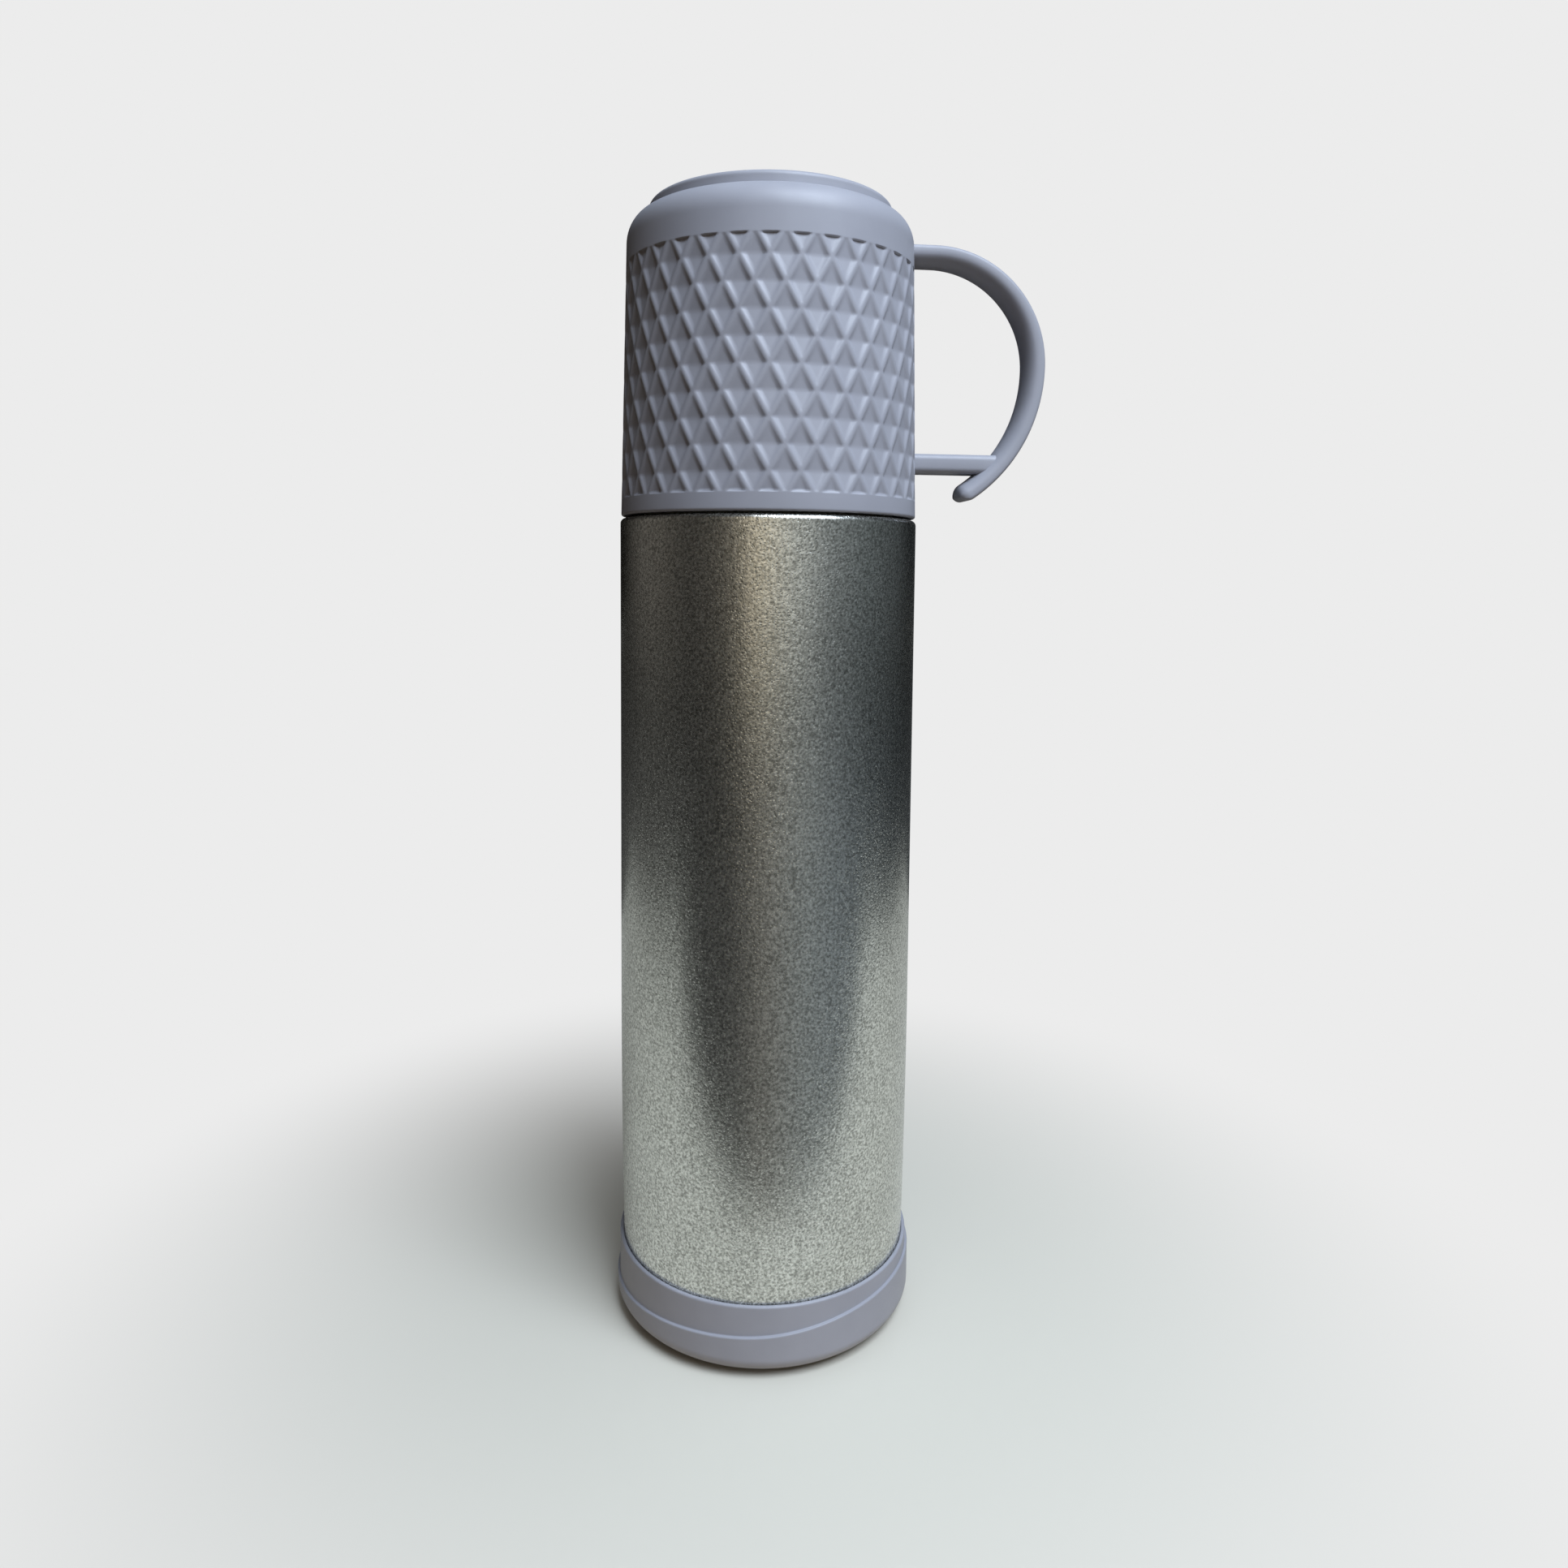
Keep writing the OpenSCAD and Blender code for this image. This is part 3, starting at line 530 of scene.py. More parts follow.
def diamond_tree():
    """A sheet of a staggered lattice, sunk into diamonds with a level crease, and bent round the cup."""
    tree, size = new_tree("diamond_band", BAND_SIZES)
    step, lowest, highest = size["Steps in a diamond"], size["Lowest row"], size["Highest row"]

    # The lattice: columns round the cup, and rows with one more above and one more below the band
    across = add(tree, MATH, (size["Diamonds round"], step), operation="MULTIPLY")
    rows = add(tree, MATH, (highest, lowest), operation="SUBTRACT")
    grid = add(tree, "GeometryNodeMeshGrid", {
        "Size X": across,
        "Size Y": add(tree, MATH, (rows, 2.0), operation="ADD"),
        "Vertices X": add(tree, MATH, (across, 1.0), operation="ADD"),
        "Vertices Y": add(tree, MATH, (rows, 3.0), operation="ADD")})
    place = add(tree, "ShaderNodeSeparateXYZ", (add(tree, "GeometryNodeInputPosition"),))
    both_ends = add(tree, MATH, (highest, lowest), operation="ADD")
    near_row = add(tree, MATH, (both_ends, 0.5, place.outputs["Y"]), operation="MULTIPLY_ADD")
    row = add(tree, MATH, (near_row,), operation="ROUND")
    odd = add(tree, MATH, (add(tree, MATH, (row, 2.0), operation="MODULO"),), operation="ABSOLUTE")
    from_left = add(tree, MATH, (across, 0.5, place), operation="MULTIPLY_ADD")
    column = add(tree, MATH, (odd, 0.5, from_left), operation="MULTIPLY_ADD")
    staggered = add(tree, "GeometryNodeSetPosition", {
        "Geometry": grid, "Position": add(tree, "ShaderNodeCombineXYZ", (column, row))})
    split = add(tree, "GeometryNodeTriangulate", {"Mesh": staggered}, quad_method="SHORTEST_DIAGONAL")

    # Place in the lattice, with a row beyond either edge pulled back to it
    spot = add(tree, "ShaderNodeSeparateXYZ", (add(tree, "GeometryNodeInputPosition"),))
    not_below = add(tree, MATH, (spot.outputs["Y"], lowest), operation="MAXIMUM")
    inside = add(tree, MATH, (not_below, highest), operation="MINIMUM")
    beyond = add(tree, MATH, (spot.outputs["Y"], inside), operation="SUBTRACT")
    u = add(tree, MATH, (spot, step), operation="DIVIDE")
    v = add(tree, MATH, (inside, add(tree, MATH, (step, 2.0), operation="MULTIPLY")), operation="DIVIDE")

    # Points crowd towards the ridges, but not beside the band's two edges
    room_above = add(tree, MATH, (highest, inside), operation="SUBTRACT")
    room_below = add(tree, MATH, (inside, lowest), operation="SUBTRACT")
    room = add(tree, MATH, (room_above, room_below), operation="MINIMUM")
    calm = add(tree, MATH, (room, 1 / 3), operation="MULTIPLY", use_clamp=True)
    crowding = add(tree, MATH, (size["Crowding"], TURN), operation="DIVIDE")
    crowd = add(tree, MATH, (calm, crowding), operation="MULTIPLY")
    cell, moves = [], []
    for join in ("ADD", "SUBTRACT"):
        along = add(tree, MATH, (add(tree, MATH, (u, v), operation=join),), operation="FRACT")
        centred = add(tree, MATH, (along, 0.5), operation="SUBTRACT")
        wave = add(tree, MATH, (add(tree, MATH, (centred, TURN), operation="MULTIPLY"),), operation="SINE")
        moves.append(add(tree, MATH, (crowd, wave), operation="MULTIPLY"))
        cell.append(add(tree, MATH, (centred, moves[-1]), operation="ADD"))
    u = add(tree, MATH, (add(tree, MATH, moves, operation="ADD"), 0.5, u), operation="MULTIPLY_ADD")
    v = add(tree, MATH, (add(tree, MATH, moves, operation="SUBTRACT"), 0.5, v), operation="MULTIPLY_ADD")

    # Depth: a floor of two slopes that meet in a level crease, and steep walls under rounded ridges
    rise = add(tree, MATH, (add(tree, MATH, cell, operation="SUBTRACT"),), operation="ABSOLUTE")
    flat = add(tree, MATH, (1.0, rise), operation="SUBTRACT")
    floor = add(tree, MATH, (size["Pit depth"], flat), operation="MULTIPLY")
    reach = [add(tree, MATH, (side,), operation="ABSOLUTE") for side in cell]
    edge = add(tree, MATH, (0.5, add(tree, MATH, reach, operation="MAXIMUM")), operation="SUBTRACT")
    from_edge = add(tree, MATH, (edge, size["Ridge spacing"]), operation="MULTIPLY")
    past_ridge = add(tree, MATH, (from_edge, size["Ridge half width"]), operation="SUBTRACT")
    from_ridge = add(tree, MATH, (past_ridge, 0.0), operation="MAXIMUM")
    slope = add(tree, MATH, (from_ridge, size["Wall slope"]), operation="MULTIPLY")
    squares = [add(tree, MATH, (side, 2.0), operation="POWER") for side in (slope, size["Ridge rounding"])]
    root = add(tree, MATH, (add(tree, MATH, squares, operation="ADD"),), operation="SQRT")
    wall = add(tree, MATH, (root, size["Ridge rounding"]), operation="SUBTRACT")
    pit = add(tree, MATH, (floor, wall, size["Fillet"]), operation="SMOOTH_MIN")
    on_band = add(tree, MATH, (add(tree, MATH, (beyond,), operation="ABSOLUTE"), 0.5), operation="LESS_THAN")
    sunk = add(tree, MATH, (add(tree, MATH, (pit, 0.0), operation="MAXIMUM"), on_band), operation="MULTIPLY")

    # Round the cup
    on_ledge = add(tree, MATH, (beyond, size["Ledge"], size["Crossing height"]), operation="MULTIPLY_ADD")
    height = add(tree, MATH, (v, size["Diamond height"], on_ledge), operation="MULTIPLY_ADD")
    over_rim = add(tree, MATH, (height, size["Rim height"]), operation="SUBTRACT")
    narrower = add(tree, MATH, (over_rim, size["Taper"], sunk), operation="MULTIPLY_ADD")
    radius = add(tree, MATH, (size["Rim radius"], narrower), operation="SUBTRACT")
    share = add(tree, MATH, (u, size["Diamonds round"]), operation="DIVIDE")
    angle = add(tree, MATH, (share, TURN, size["Crossing angle"]), operation="MULTIPLY_ADD")
    bent = add(tree, "GeometryNodeSetPosition", {
        "Geometry": split, "Position": add(tree, "ShaderNodeCombineXYZ", (
            add(tree, MATH, (radius, add(tree, MATH, (angle,), operation="COSINE")), operation="MULTIPLY"),
            add(tree, MATH, (radius, add(tree, MATH, (angle,), operation="SINE")), operation="MULTIPLY"),
            height))})
    end_tree(tree, add(tree, "GeometryNodeMergeByDistance", {"Geometry": bent, "Distance": 0.002 * MM}), LILAC)
    return tree


# Rods that climb round the axis: thread ridges, ribs and the spring

ROD_SIZES = {
    "Rods": 1, "Steps along": 40, "Steps across": 16, "Path radius": 0.0, "First angle": 0.0, "Sweep": 0.0,
    "Lowest height": 0.0, "Rise": 0.0, "Ridge height": 0.0, "Sunk depth": 0.0, "Half width": 0.0,
    "End share": 0.15,
}


def rod_tree():
    """Rods evenly round the axis, each on a helix and with rounded ends."""
    tree, size = new_tree("climbing_rods", ROD_SIZES)

    # A sheet from end to end and once round the rod
    grid = add(tree, "GeometryNodeMeshGrid", {
        "Size X": 1.0, "Size Y": 1.0,
        "Vertices X": add(tree, MATH, (size["Steps along"], 1.0), operation="ADD"),
        "Vertices Y": add(tree, MATH, (size["Steps across"], 1.0), operation="ADD")})
    spot = add(tree, "ShaderNodeSeparateXYZ", (add(tree, "GeometryNodeInputPosition"),))
    along = add(tree, MATH, (spot, 0.5), operation="ADD")
    round_rod = add(tree, MATH, (spot.outputs["Y"], TURN), operation="MULTIPLY")

    # How full the rod is: whole along its middle, and rounded off at both ends
    middle = add(tree, MATH, (spot,), operation="ABSOLUTE")
    shut = add(tree, MATH, (0.5, add(tree, MATH, (size["End share"], 0.5), operation="MULTIPLY")),
               operation="SUBTRACT")
    into_end = add(tree, "ShaderNodeMapRange", {"Value": middle, "From Min": shut, "From Max": 0.5})
    square = add(tree, MATH, (into_end, 2.0), operation="POWER")
    full = add(tree, MATH, (add(tree, MATH, (1.0, square), operation="SUBTRACT", use_clamp=True),),
               operation="SQRT")

    # The section: its outer half stands up by the ridge height, and its inner half is sunk
    out = add(tree, MATH, (round_rod,), operation="COSINE")
    outer_half = add(tree, MATH, (out, 0.0), operation="MAXIMUM")
    inner_half = add(tree, MATH, (out, 0.0), operation="MINIMUM")
    sinks = add(tree, MATH, (inner_half, size["Sunk depth"]), operation="MULTIPLY")
    stands = add(tree, MATH, (outer_half, size["Ridge height"], sinks), operation="MULTIPLY_ADD")
    outward = add(tree, MATH, (stands, full), operation="MULTIPLY")
    wide = add(tree, MATH, (add(tree, MATH, (round_rod,), operation="SINE"), size["Half width"]),
               operation="MULTIPLY")
    aside = add(tree, MATH, (wide, full), operation="MULTIPLY")

    # The path: a helix, whose slant turns the section
    length = add(tree, MATH, (size["Sweep"], size["Path radius"]), operation="MULTIPLY")
    slant = add(tree, MATH, (size["Rise"], length), operation="ARCTAN2")
    angle = add(tree, MATH, (along, size["Sweep"], size["First angle"]), operation="MULTIPLY_ADD")
    radius = add(tree, MATH, (size["Path radius"], outward), operation="ADD")
    back = add(tree, MATH, (add(tree, MATH, (slant,), operation="SINE"), aside), operation="MULTIPLY")
    up = add(tree, MATH, (add(tree, MATH, (slant,), operation="COSINE"), aside), operation="MULTIPLY")
    sine = add(tree, MATH, (angle,), operation="SINE")
    cosine = add(tree, MATH, (angle,), operation="COSINE")
    x = add(tree, MATH, (radius, cosine, add(tree, MATH, (back, sine), operation="MULTIPLY")),
            operation="MULTIPLY_ADD")
    y = add(tree, MATH, (add(tree, MATH, (radius, sine), operation="MULTIPLY"),
                         add(tree, MATH, (back, cosine), operation="MULTIPLY")), operation="SUBTRACT")
    base = add(tree, MATH, (along, size["Rise"], size["Lowest height"]), operation="MULTIPLY_ADD")
    z = add(tree, MATH, (base, up), operation="ADD")
    bent = add(tree, "GeometryNodeSetPosition", {
        "Geometry": grid, "Position": add(tree, "ShaderNodeCombineXYZ", (x, y, z))})
    rod = add(tree, "GeometryNodeMergeByDistance", {"Geometry": bent, "Distance": 0.002 * MM})

    # Evenly round the axis
    apart = add(tree, MATH, (TURN, size["Rods"]), operation="DIVIDE")
    turn = add(tree, MATH, (add(tree, "GeometryNodeInputIndex"), apart), operation="MULTIPLY")
    copies = add(tree, "GeometryNodeInstanceOnPoints", {
        "Points": add(tree, "GeometryNodePoints", {"Count": size["Rods"]}), "Instance": rod,
        "Rotation": add(tree, "ShaderNodeCombineXYZ", {"Z": turn})})
    end_tree(tree, copies, WHITE)
    return tree


DIAMOND_TREE = diamond_tree()
ROD_TREE = rod_tree()


def add_rods(bm, radius, low, rise, height, sunk, half_width, sweep=0.0, **others):
    """Adds climbing rods to a bmesh. Lengths are in mm, and a negative height and sunk face inwards."""
    add_grown(bm, ROD_TREE, {
        **ROD_SIZES, "Path radius": radius * MM, "First angle": -sweep / 2, "Sweep": sweep,
        "Lowest height": low * MM, "Rise": rise * MM, "Ridge height": height * MM,
        "Sunk depth": sunk * MM, "Half width": half_width * MM, **others})


def add_thread(bm, radius, middle_z, lead, side=1):
    """Adds the short ridges of a many-start thread. They face outwards, or inwards with side -1."""
    rise = lead * THREAD_SWEEP / TURN
    add_rods(bm, radius, middle_z - rise / 2, rise, side * THREAD_H, side * THREAD_SINK, THREAD_HALF_W,
             THREAD_SWEEP, Rods=THREAD_STARTS)


def finish_cast(bm, name, sharp=None):
    """Finishes a bmesh made of several closed shells, each with its faces outwards."""
    bmesh.ops.recalc_face_normals(bm, faces=bm.faces)
    return finish_mesh(bm, name, sharp)


def cup_shell():
    """Cup: rim strip, diamond band, smooth shoulder, seat for the disc, hollow inside and thread."""
    bm = bmesh.new()
    add_grown(bm, DIAMOND_TREE, BAND_SIZES)
    row_height = DIAMOND_HEIGHT / 2 / BAND_STEPS
    low = CROSSING_Z + BAND_ROWS[0] * row_height - LEDGE
    high = CROSSING_Z + BAND_ROWS[1] * row_height + LEDGE
    half = TURN / BAND_SEGMENTS / 2
    low_phase = CROSSING_ANGLE + half * ((BAND_ROWS[0] - 1) % 2)
    high_phase = CROSSING_ANGLE + half * ((BAND_ROWS[1] + 1) % 2)

    def face(profile, phase):
        lathe(bm, profile, BAND_SEGMENTS, phase, closed=False)

    # Rim strip, from a soft edge up to the band
    rim = CUP_RIM_Z
    rim_r = CUP_R - 0.7
    edge = [(rim_r, rim), (rim_r + 0.2, rim), (rim_r + 0.42, rim + 0.05), (rim_r + 0.6, rim + 0.2),
            (rim_r + 0.69, rim + 0.42)]
    face(edge + [(cup_radius(z), z) for z in (rim + 0.7, low - 0.6, low - 0.2, low)], low_phase)
    # Shoulder, and the shallow seat that the disc is glued into
    seat_r, seat_z = 20.9, CUP_TOP_Z - 1.2
    shoulder_r = CUP_R - CUP_DRAFT - CUP_SHOULDER_W
    face([(cup_radius(z), z) for z in (high, high + 0.2, high + 0.6, high + 2.5)]
         + arc(shoulder_r, CUP_SHOULDER_Z, CUP_SHOULDER_W, CUP_SHOULDER_H, 0, 90, 15)
         + [(shoulder_r - 0.3, CUP_TOP_Z), (seat_r, CUP_TOP_Z)], high_phase)
    face([(seat_r, CUP_TOP_Z), (seat_r - 0.05, seat_z), (0, seat_z)], high_phase)
    # The hollow, from its ceiling down to the rim
    bore, corner = CUP_BORE_R, 4
    face([(0, CUP_CEILING_Z), (bore - corner - 0.1, CUP_CEILING_Z)]
         + arc(bore - corner, CUP_CEILING_Z - corner, corner, corner, 90, 0, 9)
         + [(bore, rim + 0.9), (bore + 0.1, rim + 0.55), (bore + 0.5, rim + 0.12), (bore + 0.9, rim)], low_phase)
    face([(bore + 0.9, rim), (rim_r, rim)], low_phase)
    bmesh.ops.remove_doubles(bm, verts=bm.verts, dist=0.004 * MM)
    add_thread(bm, bore, CUP_THREAD_Z, CUP_LEAD, side=-1)
    new_object("diamond_cup", finish_cast(bm, "diamond_cup"), "cup", ("cup_shell",), LILAC)


def cup_disc():
    """Disc on the cup's top, with a soft edge and a shallow dish."""
    seat_r, seat_h = 20.8, 1.2
    ring_w, dish = 4.0, 0.8
    dish_z = DISC_TOP_Z - dish
    profile = rounded([
        (0, DISC_Z), (seat_r, DISC_Z), (seat_r, DISC_Z + seat_h), (DISC_R, DISC_Z + seat_h),
        (DISC_R, DISC_TOP_Z, 1.1), (DISC_R - ring_w, DISC_TOP_Z, 0.4), (DISC_R - ring_w - 0.9, dish_z, 0.5),
        (0, dish_z)], steps=7)
    turned("cup_disc", profile, "cup", LILAC, ("cup_foot",), segments=256, sharp=60)


# Handle

def strip_section(half, wide, edge=0.9, side=0.6, fullness=0.9, steps=18):
    """Section of the handle's strip in mm: flat outside with rounded edges, short sides, domed inside."""
    shelf = half - edge - side
    dome = [(shelf - (shelf + half) * math.sin(a) ** fullness,
             math.copysign(wide * abs(math.cos(a)) ** fullness, math.cos(a)))
            for a in np.radians(np.linspace(0, 180, steps + 1))]
    return (arc(half - edge, wide - edge, edge, edge, 0, 90, 6) + dome
            + arc(half - edge, -(wide - edge), edge, edge, -90, 0, 6))


def bar(bm, rings):
    """Skins a row of rings of equal count, in mm, and closes both ends."""
    rows = [[bm.verts.new([c * MM for c in point]) for point in ring] for ring in rings]
    skin(bm, rows)
    bm.faces.new(rows[0][::-1])
    bm.faces.new(rows[-1])


def handle():
    """Hooked handle: one domed strip, straight at its root and bent in two arcs, with a cross strut."""
    t, width = 4.3, 10.0
    mid_z = CUP_RIM_Z + 37
    top_r, low_r, sweep = HANDLE_TOP_Z - mid_z, 38.4, 56.0
    # Stations along the strip's middle: place, outward direction, and how thick and wide it is there
    stations = [(x, HANDLE_TOP_Z - t / 2, 0.0, 1.0, 1.0, 1.0) for x in (32.6, 35.0)]
    for outer_r, angles in ((top_r, np.linspace(90, 0, 33)), (low_r, np.linspace(0, -sweep, 33)[1:])):
        bend_r = outer_r - t / 2
        for a in np.radians(angles):
            stations.append((HANDLE_X - outer_r + bend_r * math.cos(a), mid_z + bend_r * math.sin(a),
                             math.cos(a), math.sin(a), 1.0, 1.0))
    end_x, end_z, out_x, out_z, _, _ = stations[-1]
    for s in np.sin(np.radians(np.linspace(0, 86, 10)))[1:]:
        thin = math.sqrt(1 - s * s)
        stations.append((end_x + out_z * s * t / 2, end_z - out_x * s * t / 2, out_x, out_z, thin,
                         0.72 + 0.28 * thin))
    section = strip_section(t / 2, width / 2)
    bm = bmesh.new()
    bar(bm, [[(x + dx * out * thin, along * narrow, z + dz * out * thin) for out, along in section]
             for x, z, dx, dz, thin, narrow in stations])
    # Strut: a rounded bar that runs from the cup into the strip, whose slope its end follows
    strut_z = CUP_RIM_Z + 13.5
    half, wide, r = 2.3, 3.8, 1.4
    flat = [point for y, z, start in ((wide - r, half - r, 0), (r - wide, half - r, 90),
                                      (r - wide, r - half, 180), (wide - r, r - half, 270))
            for point in arc(y, z, r, r, start, start + 90, 7)]
    bar(bm, [[(x + lean * up, y, strut_z + up) for y, up in flat]
             for x, lean in ((33.4, 0.0), (36.0, 0.0), (50.0, 0.0), (54.9, 0.7))])
    new_object("hook_handle", finish_cast(bm, "hook_handle", sharp=60), "cup",
               ("cup_handle",), LILAC)


# Collar, stopper and valve

def washer(name, r_in, edge, material):
    """A ring with rounded edges, as large as its node."""
    r_out, low, high = extent(name)
    middle = (low + high) / 2
    profile = rounded([
        (r_in, middle), (r_in, low, edge), (r_out, low, edge), (r_out, high, edge), (r_in, high, edge),
        (r_in, middle + 0.01)])
    body = body_of(frame["nodes"][name])[0]
    turned(name.replace("_", "-"), profile, body, material, (name,), segments=160, sharp=45)


def neck_collar():
    """Plastic collar glued on the neck, with four short thread ridges."""
    bm = bmesh.new()
    lathe(bm, rounded([
        (NECK_R, COLLAR_Z + 4), (NECK_R, COLLAR_Z, 0.3), (COLLAR_R, COLLAR_Z, 0.5), (COLLAR_R, COLLAR_TOP_Z, 0.7),
        (NECK_R, COLLAR_TOP_Z, 0.3), (NECK_R, COLLAR_TOP_Z - 4)]), 192)
    add_thread(bm, COLLAR_R, COLLAR_THREAD_Z, CUP_LEAD)
    new_object("threaded_collar", finish_cast(bm, "threaded_collar", sharp=50), "flask",
               ("neck_collar",), WHITE)


def stopper_plug():
    """Plug with its flange, thread ridges, pouring tube, and the guide that the valve stem slides in."""
    bm = bmesh.new()
    tube_out, plug_in = TUBE_R + TUBE_WALL, PLUG_R - PLUG_WALL
    lathe(bm, rounded([
        (TUBE_R, PLUG_Z + 9), (TUBE_R, PLUG_Z, 0.2), (tube_out, PLUG_Z, 0.2), (tube_out, FLANGE_Z),
        (plug_in, FLANGE_Z), (plug_in, PLUG_Z, 0.3), (PLUG_R, PLUG_Z, 0.3), (PLUG_R, FLANGE_Z, 0.4),
        (FLANGE_R, FLANGE_Z, 0.5), (FLANGE_R, DECK_Z, 0.6), (TUBE_R, DECK_Z, 0.5), (TUBE_R, PLUG_Z + 19)]), 192)
    add_thread(bm, PLUG_R, PLUG_THREAD_Z, STOPPER_LEAD)
    # Guide: a small ring, held by three ribs across the tube
    hole, boss, edge, rib = STEM_R + 0.05, STEM_R + 2, 0.2, 0.8
    top = GUIDE_Z + GUIDE_T
    lathe(bm, rounded([
        (hole, GUIDE_Z + 1), (hole, GUIDE_Z, edge), (boss, GUIDE_Z, edge), (boss, top, edge), (hole, top, edge),
        (hole, GUIDE_Z + 1.1)]), 64)
    for k in range(3):
        way = Vector((math.cos(TURN * k / 3), math.sin(TURN * k / 3), 0))
        aside = Vector((-way.y, way.x, 0))
        section = [(rib, GUIDE_Z + edge), (rib, top - edge), (rib - edge, top), (edge - rib, top),
                   (-rib, top - edge), (-rib, GUIDE_Z + edge), (edge - rib, GUIDE_Z), (rib - edge, GUIDE_Z)]
        bar(bm, [[way * r + aside * y + Vector((0, 0, z)) for y, z in section]
                 for r in (boss - 0.5, TUBE_R + TUBE_WALL / 2)])
    new_object("stopper_plug", finish_cast(bm, "stopper_plug", sharp=50), "stopper",
               ("stopper_body",), WHITE)


def stopper_grip():
    """Grip ring with two pouring slots, and ribs all round except beside the slots."""
    segments, slot_half = 280, 8
    grip_r = FLANGE_R - 1
    wall_r = grip_r - 1.6
    sill, lintel = DECK_Z + 1.2, DECK_Z + 5.2
    deck_low = GRIP_TOP_Z - 1.5
    hole_r = BUTTON_R + 0.3
    profile = rounded([
        (wall_r, sill), (wall_r, DECK_Z, 0.2), (grip_r, DECK_Z, 0.3), (grip_r, sill), (grip_r, lintel),
        (grip_r, GRIP_TOP_Z, 1.1), (hole_r, GRIP_TOP_Z, 0.5), (hole_r, deck_low, 0.2), (wall_r, deck_low, 0.4),
        (wall_r, lintel)])
    bm = bmesh.new()
    rings = lathe(bm, profile, segments)
    corner = {(r > grip_r - 1, round(z, 2)): ring for (r, z), ring in zip(profile, rings)}
    out_low, out_high, in_low, in_high = (
        corner[outer, round(z, 2)] for outer in (True, False) for z in (sill, lintel))
    for centre in (0, segments // 2):
        spots = [(centre + k) % segments for k in range(-slot_half, slot_half + 1)]
        for k, n in zip(spots, spots[1:]):
            bm.faces.remove(bm.faces.get((out_low[k], out_low[n], out_high[n], out_high[k])))
            bm.faces.remove(bm.faces.get((in_high[k], in_high[n], in_low[n], in_low[k])))
            bm.faces.new((out_low[k], out_low[n], in_low[n], in_low[k]))
            bm.faces.new((out_high[n], out_high[k], in_high[k], in_high[n]))
        for k in (spots[0], spots[-1]):
            bm.faces.new((out_low[k], out_high[k], in_high[k], in_low[k]))
    ribs = bmesh.new()
    rib_r, clear = 0.8, 5.6
    add_rods(ribs, grip_r - 0.1, DECK_Z + 0.5, GRIP_TOP_Z - DECK_Z - 2, rib_r, 0.5, rib_r,
             **{"Rods": 36, "Steps along": 30, "End share": 0.28})
    beside = [v for v in ribs.verts if abs(v.co.y) < clear * MM]
    bmesh.ops.delete(ribs, geom=beside, context="VERTS")
    mesh = finish_mesh(ribs, "ribs")
    bm.from_mesh(mesh)
    bpy.data.meshes.remove(mesh)
    new_object("ribbed_grip", finish_cast(bm, "ribbed_grip", sharp=50), "stopper",
               ("stopper_grip",), LILAC)


def push_button():
    """Hollow button with a dished top, and a boss that presses on the spring."""
    ceiling = BUTTON_TOP_Z - 2 * BUTTON_WALL
    skirt_r, skirt_z = BUTTON_R - BUTTON_WALL, BUTTON_Z + 0.5
    dish_z = BUTTON_TOP_Z - 0.6
    turned("dished_button", rounded([
        (STEM_R, BUTTON_Z), (BOSS_R, BUTTON_Z, 0.3), (BOSS_R, ceiling, 0.3), (skirt_r, ceiling, 0.4),
        (skirt_r, skirt_z, 0.2), (BUTTON_R, skirt_z, 0.3), (BUTTON_R, BUTTON_TOP_Z, 1.3),
        (BUTTON_R - 2.2, BUTTON_TOP_Z, 1.0), (BUTTON_R - 3.6, dish_z + 0.15, 1.2), (0, dish_z),
        (0, STEM_TOP_Z), (STEM_R, STEM_TOP_Z)]),
        "button", LILAC, ("push_button",), segments=160, sharp=50)


def button_spring():
    """Coil spring between the stem's guide and the button, on a mesh of its own."""
    low, high, wire_r, coils = GUIDE_Z + GUIDE_T, BUTTON_Z, 0.5, 5
    bm = bmesh.new()
    add_rods(bm, BOSS_R - 0.7, low + wire_r, high - low - 2 * wire_r, wire_r, wire_r, wire_r, coils * TURN,
             **{"Steps along": 300, "Steps across": 12, "End share": 0.006})
    spring = new_object("coil_spring", finish_cast(bm, "coil_spring"), "stopper",
                        ("button_spring",), INSIDE_STEEL)
    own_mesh(spring)


def cup_liner():
    """Steel lining of the cup, with a rounded lip."""
    wall, corner, lip = 0.8, 4, 0.25
    bore_r = LINER_R - wall
    turned("liner", rounded([
        (LINER_R - wall / 2, LINER_LIP_Z), (LINER_R, LINER_LIP_Z, lip), (LINER_R, LINER_TOP_Z, corner),
        (0, LINER_TOP_Z), (0, LINER_TOP_Z - wall), (bore_r, LINER_TOP_Z - wall, corner - wall),
        (bore_r, LINER_LIP_Z, lip)], steps=8), "liner", INSIDE_STEEL, ("cup_liner",), sharp=60)


def valve_stem():
    """Stem that carries the valve, with a soft tip."""
    turned("stem", rounded([(0, STEM_Z), (STEM_R, STEM_Z, 0.6), (STEM_R, STEM_TOP_Z, 0.4), (0, STEM_TOP_Z)]),
           "button", WHITE, ("valve_stem",), segments=64, sharp=60)


steel_body()
base_cup()
cup_shell()
cup_disc()
handle()
neck_collar()
stopper_plug()
stopper_grip()
push_button()
button_spring()
cup_liner()
valve_stem()
washer("stopper_gasket", MOUTH_R + 0.2, 0.4, SILICONE)
washer("stopper_floor", SEAT_R, 0.6, WHITE)
washer("stopper_insulation", TUBE_R + TUBE_WALL + 0.2, 0.8, FOAM)
washer("valve_disc", STEM_R, 0.6, WHITE)
washer("valve_gasket", STEM_R, 0.4, SILICONE)
washer("valve_clip", STEM_R, 0.2, INSIDE_STEEL)

